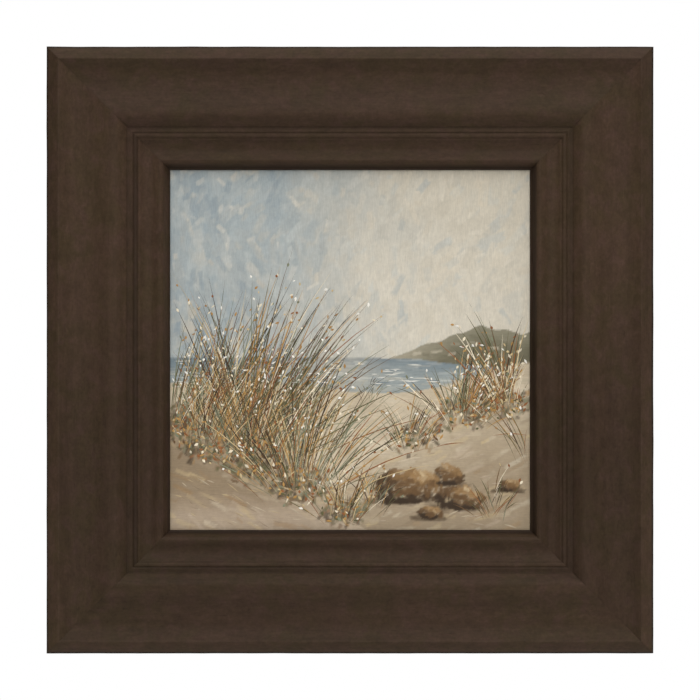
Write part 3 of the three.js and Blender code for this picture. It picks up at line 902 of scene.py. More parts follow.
def lay_mark(paint, relief, at, size, turn, colour, cover, bristles):
    """One brush mark, worked into the two arrays in place.

    Along the mark runs t and across it w, both from -1 to 1. It covers fully inside and fades
    over its last tenth, and each bristle, a row of w, stops a little sooner or later and carries
    a little more or less paint, by a sum of two sines of w. The bristles are (slow, fast, shift).
    """
    long, wide = size[0] / 2, size[1] / 2
    far = math.hypot(long, wide) + PAINT_STEP
    low = np.maximum(((at - far + PAINT_HALF) / PAINT_STEP).astype(int), 0)
    high = np.minimum(((at + far + PAINT_HALF) / PAINT_STEP).astype(int) + 1, PAINT_CELLS)
    if np.any(high <= low):
        return
    x = (np.arange(low[0], high[0]) + 0.5) * PAINT_STEP - PAINT_HALF - at[0]
    z = (np.arange(low[1], high[1]) + 0.5) * PAINT_STEP - PAINT_HALF - at[1]
    x, z = x[None, :], z[:, None]
    t = (x * math.cos(turn) + z * math.sin(turn)) / long
    w = (z * math.cos(turn) - x * math.sin(turn)) / wide
    slow, fast, shift = bristles
    hair = 0.5 + 0.25 * np.sin(w * slow + shift) + 0.25 * np.sin(w * fast + 2 * shift)
    mask = smooth_step(1 - np.abs(t) - 0.28 * hair, 0, 0.10) * smooth_step(1 - np.abs(w), 0, 0.22)
    mask = mask * (0.72 + 0.28 * hair) * cover
    window = (slice(low[1], high[1]), slice(low[0], high[0]))
    paint[window] = paint[window] * (1 - mask[..., None]) + colour * mask[..., None]
    ridge = 0.35 + 0.4 * hair + 0.25 * np.abs(w) ** 3
    relief[window] = relief[window] * (1 - 0.75 * mask) + ridge * 0.75 * mask


def random_bristles(rng, count):
    """Bristle values for count marks: a slow wave, a fast wave and a shift."""
    return np.stack([rng.uniform(4, 9, count), rng.uniform(14, 30, count),
                     rng.uniform(0, 6.3, count)], axis=1)


# grass clumps: foot (across, up), spread and length as shares of the side, lean in radians, and
# how thick each is beside the others
CLUMPS = np.array([
    (0.115, 0.250, 0.080, 0.098, 0.08, 3.4), (0.240, 0.205, 0.090, 0.118, 0.04, 4.6),
    (0.365, 0.130, 0.075, 0.086, 0.02, 3.0), (0.025, 0.300, 0.045, 0.070, 0.02, 1.4),
    (0.480, 0.060, 0.060, 0.040, 0.05, 1.3), (0.930, 0.350, 0.055, 0.062, -0.04, 2.2),
    (0.810, 0.325, 0.060, 0.044, 0.06, 1.6), (0.665, 0.262, 0.050, 0.028, 0.05, 0.9),
    (0.560, 0.400, 0.030, 0.010, 0.05, 0.3), (0.560, 0.098, 0.028, 0.024, 0.02, 0.5),
    (0.885, 0.075, 0.040, 0.026, -0.02, 0.6), (0.985, 0.230, 0.030, 0.050, -0.06, 0.7),
])


def scrub_density(p, q):
    """How thickly low scrub grows: bell curves about clumps and along the right dune's crest."""
    off = (p[..., None] - CLUMPS[:, 0]) / (CLUMPS[:, 2] * 0.95)
    rise = (q[..., None] - CLUMPS[:, 1] - 0.005) / (0.022 + 0.30 * CLUMPS[:, 3])
    about = np.max(1.3 * np.exp(-(off**2) - rise**2) * (CLUMPS[:, 5] > 0.8), axis=-1)
    crest = np.exp(-(((dune_right(p) - 0.035 - q) / 0.035) ** 2)) * smooth_step(p, 0.50, 0.80)
    return np.clip(np.maximum(about, 0.75 * crest), 0, 1)


# rocks: middle (across, up), half width and half height as shares of the side, and shape
ROCKS = np.array([
    (0.765, 0.158, 0.046, 0.030, 4.4), (0.655, 0.128, 0.088, 0.056, 1.0),
    (0.800, 0.098, 0.062, 0.038, 2.3), (0.718, 0.058, 0.034, 0.019, 3.1),
    (0.930, 0.132, 0.030, 0.018, 0.4),
])


def paint_rocks(paint, relief, rng):
    """Boulders: under each a band of shadow marks, then marks that follow its flat sides.

    Inside a wavy flat based outline every mark's shade is the dot product of the light with a
    normal that is part dome and part one of seven flat sides. Dark marks go down before light.
    """
    c = PALETTE
    sun = np.array([0.55, 0.72, 0.42])
    for across, up, wide, high, shape in ROCKS:
        middle = np.array([across, up])
        count = 44
        spot = middle + np.stack([rng.uniform(-1.25, 0.95, count) * wide,
                                  rng.normal(-0.66, 0.13, count) * high], axis=1)
        hue = blend(c["sand_shade"], c["umber"], rng.uniform(0.2, 0.9, count))
        hairs = random_bristles(rng, count)
        for k in range(count):
            lay_mark(paint, relief, (spot[k] * 2 - 1) * PAINT_HALF,
                     (rng.uniform(7, 15) * MM, rng.uniform(1.6, 3.0) * MM),
                     rng.normal(0, 0.08), hue[k], 0.55, hairs[k])
        count = int(80 + 36000 * wide * high)
        angle, radius = rng.uniform(0, 2 * math.pi, count), np.sqrt(rng.random(count)) * 0.97
        edge = 1 + 0.10 * np.sin(2 * angle + shape) + 0.07 * np.sin(3 * angle + 2 * shape)
        dx, dz = radius * np.cos(angle), radius * np.sin(angle)
        side_angle = np.round(angle * 3.5 / math.pi + shape) * math.pi / 3.5 - shape
        flat = np.stack([0.85 * np.cos(side_angle), 0.85 * np.sin(side_angle),
                         np.full(count, 0.52)], axis=1)
        flat[radius < 0.42] = (-0.05, 0.34, 0.94)
        dome = np.stack([dx, dz, np.sqrt(1 - radius**2)], axis=1)
        light = (0.35 * dome + 0.65 * flat) @ sun + rng.normal(0, 0.07, count)
        hue = blend(c["umber"], c["bronze"], smooth_step(light, -0.15, 0.60))
        hue = blend(hue, c["bronze_light"], smooth_step(light, 0.55, 0.98))
        hue = blend(hue, c["stone_light"], smooth_step(light, 0.92, 1.12))
        turn = np.where(radius < 0.42, rng.normal(0.1, 0.5, count),
                        side_angle + math.pi / 2 + rng.normal(0, 0.22, count))
        spot = middle + np.stack([dx * edge * wide, np.maximum(dz * edge, -0.66) * high], axis=1)
        scale = (wide / 0.088) ** 0.5
        longs = rng.uniform(4.5, 10, count) * scale * MM
        wides = rng.uniform(2.0, 4.4, count) * scale * MM
        hairs = random_bristles(rng, count)
        for k in np.argsort(light + rng.normal(0, 0.40, count)):
            lay_mark(paint, relief, (spot[k] * 2 - 1) * PAINT_HALF, (longs[k], wides[k]),
                     turn[k], hue[k], 0.85, hairs[k])


def paint_coast(seed):
    """The picture's colours, relief and bristle way on a fine grid, painted back to front.

    Every pass lays many marks: their places are random over the part they belong to, and each
    takes the ground colour there, moved a random share towards one of the pass's colours.
    """
    rng = np.random.default_rng(seed)
    c = PALETTE
    row = (np.arange(PAINT_CELLS) + 0.5) / PAINT_CELLS
    p, q = np.meshgrid(row, row)
    ground, part = ground_colour(p, q)
    paint = ground.copy()
    bare_relief = 0.35
    relief = np.full(paint.shape[:2], bare_relief)

    def scatter(count, parts, sizes, turn, spread, colours, pull, cover, rows=(-0.02, 1.02),
                bias=1.6, thick_where=None):
        """One pass of marks over some parts.

        sizes are the spans of length and width in mm, turn the way the marks run at a place and
        spread how much they stray from it. pull is how far they go towards the colours, bias how
        few go that far, rows the heights they lie in, and thick_where their odds at a place.
        """
        spot = np.stack([rng.uniform(-0.02, 1.02, count), rng.uniform(*rows, count)], axis=1)
        base, where = ground_colour(np.clip(spot[:, 0], 0, 1), spot[:, 1])
        kept = np.isin(where, parts)
        if thick_where is not None:
            kept &= rng.random(count) < thick_where(spot[:, 0], spot[:, 1])
        picks = rng.integers(0, len(colours), count)
        pulls = pull * rng.random(count) ** bias
        hues = blend(base, np.array([c[k] for k in colours])[picks], pulls)
        hues = hues * rng.uniform(0.94, 1.06, (count, 1))
        longs = rng.uniform(*sizes[0], count) * MM
        wides = rng.uniform(*sizes[1], count) * MM
        turns = turn(spot[:, 0], spot[:, 1]) + rng.normal(0, spread, count)
        hairs = random_bristles(rng, count)
        for k in np.flatnonzero(kept):
            lay_mark(paint, relief, (spot[k] * 2 - 1) * PAINT_HALF, (longs[k], wides[k]),
                     turns[k], hues[k], cover, hairs[k])

    def swept(p, q):
        """The way the sky's marks run: upright, leaning by a slow ripple and to the right."""
        return math.pi / 2 + 0.5 * ripple(p, q, 23, 0.4) - 0.25 * smooth_step(p, 0.2, 1.0)

    def level(p, q):
        """Level, as on the sea."""
        return np.zeros(p.shape)

    def down_left(p, q):
        """Down the left dune's slope, steeper to the right."""
        return -0.42 - 0.25 * p

    def up_right(p, q):
        """Up the right dune's slope, steeper to the right."""
        return 0.16 + 0.28 * p

    def any_way(p, q):
        """Upright, but turned this way and that by quick ripples."""
        return math.pi / 2 + 0.9 * ripple(p, q, 24, 0.05)

    def on_left(p, q):
        """Odds that fall by a smooth step from the left to past the middle."""
        return smooth_step(-p, -0.62, -0.15)

    def within_scrub(p, q):
        """Odds that follow how thickly the scrub grows."""
        return smooth_step(scrub_density(p, q), 0.12, 0.75)

    def deep_in_scrub(p, q):
        """Odds that are high only where the scrub is thickest."""
        return scrub_density(p, q) ** 4

    sky = ["sky_pale", "sky_light", "sky_cool", "sky_warm", "haze"]
    scatter(620, [0], ((16, 34), (8, 15)), swept, 0.30, sky, 0.75, 0.85)
    scatter(900, [0], ((9, 24), (4, 8)), swept, 0.35, sky, 0.70, 0.8)
    scatter(900, [0], ((8, 26), (3, 8)), swept, 0.4, ["sky_deep", "sky_deep", "sky_pale"], 0.85,
            0.6, thick_where=on_left)
    scatter(320, [0], ((5, 15), (2, 4.5)), swept, 0.7, ["sky_light", "sky_pale", "haze"], 0.85,
            0.7)
    paint[part > 0] = ground[part > 0]
    relief[part > 0] = bare_relief
    scatter(260, [1], ((5, 14), (1.6, 3.4)), level, 0.25,
            ["headland_shade", "sage", "olive", "haze", "sand_shade"], 0.8, 0.75, (0.44, 0.58))
    scatter(520, [2], ((8, 30), (0.9, 2.2)), level, 0.03,
            ["sea_far", "sea_near", "foam", "sky_cool", "sky_warm"], 0.7, 0.8, (0.36, 0.478))
    scatter(260, [3], ((8, 26), (1.3, 3.2)), level, 0.06,
            ["sand_light", "sand", "sage", "straw", "haze"], 0.65, 0.8, (0.28, 0.46))
    scatter(760, [4], ((8, 28), (2, 5)), up_right, 0.16,
            ["sand_light", "sand_shade", "sand_rose", "haze", "straw", "bronze_light"], 0.75,
            0.75, (0.0, 0.46))
    scatter(760, [5], ((8, 26), (2, 5)), down_left, 0.18,
            ["sand_light", "sand_shade", "sand_rose", "straw", "bronze_light"], 0.7, 0.75,
            (0.0, 0.42))
    scatter(4600, [3, 4, 5], ((3, 9), (1.8, 3.8)), any_way, 0.4,
            ["umber", "olive", "umber", "bronze", "olive"], 1.0, 0.9, (0.02, 0.47), 0.25,
            within_scrub)
    scatter(2200, [3, 4, 5], ((3, 9), (1.6, 3.4)), any_way, 0.5, ["umber", "umber", "olive"],
            1.0, 0.85, (0.02, 0.47), 0.2, deep_in_scrub)
    scatter(2000, [3, 4, 5], ((2.5, 6), (1.4, 2.8)), any_way, 0.6,
            ["rust", "ochre", "sage", "olive", "bronze_light"], 1.0, 0.85, (0.02, 0.47), 0.4,
            within_scrub)
    paint_rocks(paint, relief, rng)
    return paint, relief, part


def sampled(grid, x, z):
    """Values of a paint grid at places on the canvas, blended from the four nearest cells."""
    column = np.clip((x + PAINT_HALF) / PAINT_STEP - 0.5, 0, PAINT_CELLS - 1.001)
    row = np.clip((z + PAINT_HALF) / PAINT_STEP - 0.5, 0, PAINT_CELLS - 1.001)
    i, j = row.astype(int), column.astype(int)
    di, dj = row - i, column - j
    if grid.ndim == 3:
        di, dj = di[..., None], dj[..., None]
    upper = grid[i + 1, j] * (1 - dj) + grid[i + 1, j + 1] * dj
    return (grid[i, j] * (1 - dj) + grid[i, j + 1] * dj) * (1 - di) + upper * di


STROKE_ROWS = 7


def stroke_tubes(at, size, turn, curl, taper, thick, relief, relief_height):
    """Raised marks of paint, all at once: points[mark, row, column].

    Each mark's middle line leaves its start at the angle turn and bends sideways by curl times
    its length times t squared. Its width follows a sine arch whose peak sits nearer its foot as
    taper grows, and its section is a low lens of five points pressed into the paint below.
    """
    t = np.linspace(0.0, 1.0, STROKE_ROWS)[None]
    forward = np.stack([np.cos(turn), np.sin(turn)], axis=-1)[:, None]
    sideways = np.stack([-np.sin(turn), np.cos(turn)], axis=-1)[:, None]
    long = size[:, :1, None]
    bent = curl[:, None, None] * t[..., None] ** 2
    middle = at[:, None] + forward * long * t[..., None] + sideways * long * bent
    heading = forward + 2 * sideways * curl[:, None, None] * t[..., None]
    heading /= np.linalg.norm(heading, axis=-1, keepdims=True)
    beside = np.stack([-heading[..., 1], heading[..., 0]], axis=-1)
    arch = np.sin(math.pi * np.clip(t, 0.03, 0.97) ** (1 / taper[:, None]))
    half = size[:, 1:, None] / 2 * arch[..., None]
    steps = np.array([-1.0, -0.5, 0.5, 1.0, 0.0])
    rises = np.array([0.0, 0.85, 0.85, 0.0, -0.25])
    flat = middle[:, :, None] + beside[:, :, None] * half[..., None] * steps[:, None]
    ground = CANVAS_FRONT + relief_height * sampled(relief, flat[..., 0], flat[..., 1])
    lift = thick[:, None, None] * np.sqrt(arch)[..., None] * rises - 0.03 * MM
    return np.stack([flat[..., 0], BACK_Y - ground - lift, CENTRE_Z + flat[..., 1]], axis=-1)


def chosen_colours(rng, count, odds, low, high):
    """count palette colours drawn by their odds, each made a little darker or lighter."""
    names, weights = list(odds), np.array(list(odds.values()), float)
    picks = rng.choice(len(names), count, p=weights / weights.sum())
    return np.array([PALETTE[k] for k in names])[picks] * rng.uniform(low, high, (count, 1))


def grass_marks(rng, settings):
    """Dune grass: blades that rise in clumps and fan out, and dabs of seed near their tips.

    Blades stand thickest in the middle of a clump, and lean further and are shorter towards its
    edges. A dab's place follows its blade's bent middle line.
    """
    count = settings.blades
    clump = rng.choice(len(CLUMPS), count, p=CLUMPS[:, 5] / CLUMPS[:, 5].sum())
    foot = CLUMPS[clump]
    off = np.clip(rng.normal(0, 0.5, count), -1.2, 1.2)
    p = foot[:, 0] + foot[:, 2] * off
    q = foot[:, 1] + rng.uniform(-0.035, 0.02, count) - 0.02 * np.abs(off)
    at = (np.stack([p, q], axis=1) * 2 - 1) * PAINT_HALF
    lean = foot[:, 4] + 0.62 * off + rng.normal(0, 0.19, count)
    turn = math.pi / 2 - lean
    curl = -rng.uniform(0.02, 0.36, count) * np.where(lean > -0.1, 1.0, -0.7)
    long = foot[:, 3] * 1.25 * rng.uniform(0.38, 1.15, count) * (1 - 0.2 * np.abs(off))
    wide = rng.uniform(0.45, 1.05, count) * MM * (0.6 + 0.4 * np.minimum(long / 0.06, 1))
    size = np.stack([long, wide], axis=1)
    odds = {"sage": 18, "olive": 26, "ochre": 14, "rust": 10, "straw": 9, "cream": 4,
            "umber": 15, "bronze": 14}
    hue = chosen_colours(rng, count, odds, 0.8, 1.2)
    blades = (at, size, turn, curl, np.full(count, 0.75), rng.uniform(0.16, 0.30, count) * MM, hue)

    heads = settings.heads
    tall = np.flatnonzero(long > 0.030)
    bearer = rng.choice(tall, heads)
    t = 1 - np.abs(rng.normal(0, 0.17, heads))
    forward = np.stack([np.cos(turn), np.sin(turn)], axis=-1)[bearer]
    sideways = np.stack([-np.sin(turn), np.cos(turn)], axis=-1)[bearer]
    reached = long[bearer, None] * t[:, None]
    spot = at[bearer] + forward * reached
    spot = spot + sideways * long[bearer, None] * curl[bearer, None] * t[:, None] ** 2
    spot = spot + rng.normal(0, 1.6 * MM, (heads, 2))
    head_turn = turn[bearer] + 2 * curl[bearer] * t + rng.normal(0, 0.5, heads)
    head_size = np.stack([rng.uniform(1.8, 4.4, heads), rng.uniform(1.0, 2.3, heads)], axis=1) * MM
    odds = {"cream": 24, "white": 18, "straw": 20, "ochre": 16, "rust": 8, "sage": 5,
            "bronze_light": 9}
    head_hue = chosen_colours(rng, heads, odds, 0.88, 1.08)
    seeds = (spot, head_size, head_turn, rng.normal(0, 0.12, heads), np.full(heads, 0.95),
             rng.uniform(0.22, 0.45, heads) * MM, head_hue)
    return blades, seeds


def scrub_marks(rng, count):
    """Small leaves of the low scrub: short broad marks, thickest where the scrub is."""
    spot = rng.uniform((0.0, 0.03), (1.0, 0.46), (count * 16, 2))
    thick = scrub_density(spot[:, 0], spot[:, 1])
    kept = rng.random(len(spot)) < 0.9 * smooth_step(thick, 0.08, 0.8)
    spot = spot[kept][:count]
    count = len(spot)
    odds = {"rust": 22, "ochre": 20, "olive": 16, "sage": 14, "straw": 10, "bronze": 10,
            "cream": 8}
    size = np.stack([rng.uniform(2.2, 5.6, count), rng.uniform(1.2, 2.6, count)], axis=1) * MM
    return ((spot * 2 - 1) * PAINT_HALF, size, math.pi / 2 + rng.normal(0, 0.9, count),
            rng.normal(0, 0.1, count), np.full(count, 0.95),
            rng.uniform(0.16, 0.34, count) * MM, chosen_colours(rng, count, odds, 0.85, 1.12))


def shore_marks(rng, count, rows, span, sizes, turn, spread, names, pull):
    """Short raised marks over some rows of the picture: foam, or ripples of sand.

    Each takes the ground colour under it, moved towards one of the named colours by pull. None
    lies within an ellipse a quarter larger than a rock.
    """
    spot = np.stack([rng.uniform(*span, count), rng.uniform(*rows, count)], axis=1)
    off = (spot[:, None] - ROCKS[:, :2]) / (1.25 * ROCKS[:, 2:4])
    spot = spot[np.min(np.sum(off**2, axis=-1), axis=-1) > 1]
    count = len(spot)
    base, _ = ground_colour(spot[:, 0], spot[:, 1])
    hue = np.array([PALETTE[k] for k in names])[rng.integers(0, len(names), count)]
    hue = blend(base, hue, np.full(count, pull))
    size = np.stack([rng.uniform(*sizes[0], count), rng.uniform(*sizes[1], count)], axis=1) * MM
    return ((spot * 2 - 1) * PAINT_HALF, size, turn + rng.normal(0, spread, count),
            rng.normal(0, 0.05, count), np.full(count, 0.95),
            rng.uniform(0.10, 0.22, count) * MM, hue * rng.uniform(0.92, 1.06, (count, 1)))


def build_strokes(settings, relief, finish):
    """Every raised mark of paint as one piece of low closed ribbons on the canvas's face."""
    rng = np.random.default_rng(settings.seed + 1)
    blades, seeds = grass_marks(rng, settings)
    groups = [
        shore_marks(rng, 120, (0.40, 0.47), (0.0, 0.72), ((3, 13), (0.5, 1.2)), 0.0, 0.05,
                    ["foam", "white", "sea_near", "sea_far"], 0.8),
        shore_marks(rng, 60, (0.02, 0.26), (0.50, 1.0), ((4, 13), (0.8, 1.8)), 0.22, 0.2,
                    ["sand_light", "sand_shade", "sand_rose"], 0.4),
        shore_marks(rng, 60, (0.01, 0.16), (0.0, 0.5), ((4, 13), (0.8, 1.8)), -0.4, 0.2,
                    ["sand_light", "sand_shade", "straw"], 0.4),
        scrub_marks(rng, settings.leaves),
        blades,
        seeds,
    ]
    tubes_made, hues = [], []
    for at, size, turn, curl, taper, thick, hue in groups:
        points = stroke_tubes(at, size, turn, curl, taper, thick, relief, settings.relief)
        far = np.maximum(np.abs(points[..., 0]), np.abs(points[..., 2] - CENTRE_Z))
        inside = far.max(axis=(1, 2)) < PAINT_HALF - MARKS_STOP
        tubes_made.append(points[inside])
        hues.append(hue[inside])
    points, hue = np.concatenate(tubes_made), np.concatenate(hues)
    paint = np.ones((*points.shape[:3], 4))
    paint[..., :3] = hue[:, None, None]
    paint[..., 3] = 0.5
    made = {"paint": paint.reshape(-1, 4)}
    return piece("paint_marks", points.reshape(-1, 3), tubes(points), [finish],
                 made=made, sharp=80.0)


# ---- canvas ----

CANVAS_CELLS = 276
CLOTH = 0.7 * MM
FOLD_IN = 17 * MM
EDGE_ROUND = 0.9 * MM
STAPLE_PITCH = 47.5 * MM


def square_rings(levels, shares):
    """Square rings of points, one for each (reach, height) level, each side split at the shares.

    A ring starts at the lower left corner and runs right, up, left and down: on its first side
    x is reach times the share and z is minus reach, and the others are that side turned.
    """
    first = shares[:-1]
    ones = np.ones_like(first)
    x = np.concatenate([first, ones, -first, -ones])
    z = np.concatenate([-ones, first, ones, -first])
    reach, height = levels[:, :1], levels[:, 1:]
    return np.stack([x * reach, z * reach, np.broadcast_to(height, (len(levels), len(x)))], -1)


def halved(outer, inner, count):
    """Triangles between a ring of count points a side and the next with half as many."""
    small = np.arange(4 * count // 2)
    big = 2 * small
    here, after = inner + small, inner + (small + 1) % (2 * count)
    first, second, third = outer + big, outer + big + 1, outer + (big + 2) % (4 * count)
    return np.concatenate([
        np.stack([here, first, second], 1), np.stack([here, second, after], 1),
        np.stack([after, second, third], 1),
    ])


def build_canvas(settings, paint, relief, part, finishes):
    """The stretched cloth as one closed sheet 0.7 mm thick, its face a fine grid, its rest rings.

    The face is a grid whose height is the canvas's front plus the paint's relief, fading out at
    the wrapped edges. From its border square rings run round the edge, down the side, round to
    the back, in along the fold, over the hem and back again along the inside, where each ring is
    thinned twice by half before the inner face closes the sheet. The fold puckers between the
    staples by a cosine, and its hem is ragged by quick ripples.
    """
    n = CANVAS_CELLS
    shares = np.concatenate([[-1, -0.993], np.linspace(-0.9855, 0.9855, n - 3), [0.993, 1]])
    outer, inner = CANVAS_HALF, CANVAS_HALF - CLOTH
    x = shares * (outer - EDGE_ROUND)
    gx, gz = np.meshgrid(x, x)
    fade = smooth_step(outer - np.maximum(np.abs(gx), np.abs(gz)), 2 * MM, 6 * MM)
    height = CANVAS_FRONT + settings.relief * sampled(relief, gx, gz) * fade
    face = np.stack([gx, gz, height], -1).reshape(-1, 3)
    number = np.arange((n + 1) ** 2).reshape(n + 1, n + 1)
    border = np.concatenate([number[0, :-1], number[:-1, -1], number[-1, :0:-1], number[:0:-1, 0]])

    front, rear = CANVAS_FRONT, CANVAS_REAR
    hem = outer - FOLD_IN
    cut = 0.25 * EDGE_ROUND
    wrap = np.array([
        (outer - cut, front - cut), (outer, front - EDGE_ROUND),
        (outer, front - 7 * MM), (outer, rear + 7 * MM), (outer, rear + EDGE_ROUND),
        (outer - cut, rear + cut), (outer - EDGE_ROUND, rear),
        (outer - 5 * MM, rear), (outer - 9 * MM, rear), (outer - 13 * MM, rear),
        (hem + 0.2 * MM, rear), (hem, rear + 0.35 * MM), (hem + 0.1 * MM, rear + CLOTH),
    ])
    rings = square_rings(wrap, shares)
    place = np.where(np.abs(rings[..., 0]) > np.abs(rings[..., 1]), rings[..., 1], rings[..., 0])
    pucker = 0.5 - 0.5 * np.cos(2 * math.pi * place / STAPLE_PITCH)
    reach = np.maximum(np.abs(rings[..., 0]), np.abs(rings[..., 1]))
    on_fold = smooth_step(outer - reach, 1 * MM, 6 * MM) * (rings[..., 2] < rear + 0.1 * MM)
    loose = ripple(rings[..., 0], rings[..., 1], 7, 18 * MM)
    rings[..., 2] -= on_fold * pucker * (0.22 + 0.18 * loose) * MM
    ragged = 0.45 * MM * ripple(rings[..., 0], rings[..., 1], 8, 9 * MM, 16)
    free = smooth_step(hem + 3 * MM - reach, 0, 3 * MM)
    rings[..., :2] *= (1 + free * ragged / reach)[..., None]

    def even(count):
        """Shares that split a side into count equal lengths."""
        return np.linspace(-1, 1, count + 1)

    lining = [
        square_rings(np.array([(hem + 4 * MM, rear + CLOTH)]), even(n // 2)),
        square_rings(np.array([
            (outer - 5 * MM, rear + CLOTH), (inner, rear + CLOTH), (inner, rear + 7 * MM),
            (inner, front - CLOTH),
        ]), even(n // 4)),
    ]
    coarse = n // 4
    flat = np.linspace(-1, 1, coarse + 1) * inner
    bx, bz = np.meshgrid(flat, flat)
    slack = 0.15 * MM * ripple(bx, bz, 9, 90 * MM)
    slack = slack * smooth_step(inner - np.maximum(np.abs(bx), np.abs(bz)), 0, 60 * MM)
    lining_face = np.stack([bx, bz, np.full(bx.shape, front - CLOTH) + slack], -1)

    sets = [face, rings.reshape(-1, 3), *(ring.reshape(-1, 3) for ring in lining),
            lining_face[1:-1, 1:-1].reshape(-1, 3)]
    starts = np.concatenate([[0], np.cumsum([len(s) for s in sets])])
    points = np.concatenate(sets)

    quads = np.stack([number[:-1, :-1], number[:-1, 1:], number[1:, 1:], number[1:, :-1]], -1)
    first_ring = starts[1] + np.arange(4 * n)
    seam = np.stack([border, np.roll(border, -1), np.roll(first_ring, -1), first_ring], -1)
    wraps = joined(len(wrap), 4 * n, starts[1])
    last_wrap = starts[1] + (len(wrap) - 1) * 4 * n
    thin_one = halved(last_wrap, starts[2], n)
    thin_two = halved(starts[2], starts[3], n // 2)
    inside = joined(4, 4 * coarse, starts[3])
    last_ring = starts[3] + 3 * 4 * coarse
    core = starts[4] + np.arange((coarse - 1) ** 2).reshape(coarse - 1, coarse - 1)
    lined = np.zeros((coarse + 1, coarse + 1), int)
    lined[1:-1, 1:-1] = core
    walk = last_ring + np.arange(4 * coarse)
    lined[0, :-1], lined[:-1, -1] = walk[:coarse], walk[coarse:2 * coarse]
    lined[-1, :0:-1], lined[:0:-1, 0] = walk[2 * coarse:3 * coarse], walk[3 * coarse:]
    back = np.stack([lined[:-1, :-1], lined[:-1, 1:], lined[1:, 1:], lined[1:, :-1]], -1)

    faces = [quads.reshape(-1, 4), seam, wraps, thin_one, thin_two, inside, back.reshape(-1, 4)]
    painted, primed, raw = 0, 1, 2
    kinds = [painted, primed, primed, raw, raw, raw, raw]
    which = np.concatenate([np.full(len(f), k) for f, k in zip(faces, kinds)])
    hue = np.ones((len(points), 4))
    hue[:, :3] = sampled(paint, points[:, 0], points[:, 1])
    hue[:, 3] = sampled((part > 0).astype(float), points[:, 0], points[:, 1])
    world = np.stack([points[:, 0], BACK_Y - points[:, 2], CENTRE_Z + points[:, 1]], -1)
    return piece("canvas_cloth", world, faces, finishes, ["canvas"],
                 which=which, made={"paint": hue}, sharp=70.0)


def build_corner_folds(finish):
    """The doubled cloth at the back's four corners: low three sided pads on the fold.

    A pad spans its corner, a point along the edge and a point in at the mitre. Between them s
    runs from the corner and t across, and its height is the cloth's thickness times flat topped
    powers of s and t, so its edges round down to the cloth below.
    """
    s = np.linspace(0.04, 1, 14)[:, None]
    t = np.linspace(0, 1, 15)[None]
    corner = np.array([CANVAS_HALF - 0.8 * MM, CANVAS_HALF - 0.8 * MM])
    level = np.array([CANVAS_HALF - 19 * MM, CANVAS_HALF - 1.2 * MM])
    mitre = np.array([CANVAS_HALF - 16.4 * MM, CANVAS_HALF - 16.8 * MM])
    flat = corner + s[..., None] * ((level - corner) + t[..., None] * (mitre - level))
    body = (1 - np.abs(2 * t - 1) ** 8) * (1 - s**14) * smooth_step(s, 0.04, 0.2)
    crease = 0.12 * MM * np.sin(9 * s + 4 * t) * body
    top = CANVAS_REAR - 0.95 * CLOTH * body - crease
    under = np.full(top.shape, CANVAS_REAR + 0.05 * MM)
    shells = []
    for side in range(4):
        outer = on_side(side, flat[..., 0], flat[..., 1], top)
        inner = on_side(side, flat[..., 0], flat[..., 1], under)
        ring = np.concatenate([outer, inner[:, ::-1]], axis=1)
        shells.append(ring)
    points = np.stack(shells)
    return piece("corner_folds", points.reshape(-1, 3), tubes(points), [finish],
                 sharp=60.0)


# ---- pieces behind ----

# each clip sits this far along its side from the middle, and its screw this far out
CLIP_PLACE = 23.75 * MM
SCREW_REACH = 161.5 * MM
HANGER_NAIL_PLACE = 27.5 * MM


def strip(path, breadth, thick, corner, place=0.0):
    """A flat strip carried along a path of (reach, height) points, as rings of 12 points.

    At each station the ring is a rounded rectangle, breadth wide along the side and thick across
    the path. Breadth may change along the path.
    """
    heading = np.gradient(path, axis=0)
    heading /= np.linalg.norm(heading, axis=1, keepdims=True)
    normal = np.stack([-heading[:, 1], heading[:, 0]], axis=1)
    turns = np.radians([0, 45, 90])
    quarter = np.stack([np.cos(turns), np.sin(turns)], axis=1) * corner
    flips = np.array([(1, 1), (-1, 1), (-1, -1), (1, -1)])
    half = np.stack([np.asarray(breadth) / 2 * np.ones(len(path)), np.full(len(path), thick / 2)],
                    axis=1)
    rings = []
    for k, flip in enumerate(flips):
        bent = quarter if k % 2 == 0 else quarter[::-1]
        rings.append((half[:, None] - corner + bent[None]) * flip)
    ring = np.concatenate(rings, axis=1)
    places = place + ring[..., 0]
    reach = path[:, None, 0] + normal[:, None, 0] * ring[..., 1]
    height = path[:, None, 1] + normal[:, None, 1] * ring[..., 1]
    return places, reach, height


def bent_path(corners, radius, steps=5):
    """A path through corner points, each inner corner cut by a quadratic curve of that radius."""
    corners = np.asarray(corners, float)
    before = corners[1:-1] - corners[:-2]
    after = corners[2:] - corners[1:-1]
    before /= np.linalg.norm(before, axis=1, keepdims=True)
    after /= np.linalg.norm(after, axis=1, keepdims=True)
    t = np.linspace(0, 1, steps)[None, :, None]
    start = (corners[1:-1] - before * radius)[:, None]
    end = (corners[1:-1] + after * radius)[:, None]
    curve = (1 - t) ** 2 * start + 2 * t * (1 - t) * corners[1:-1, None] + t**2 * end
    return np.concatenate([corners[:1], curve.reshape(-1, 2), corners[-1:]])


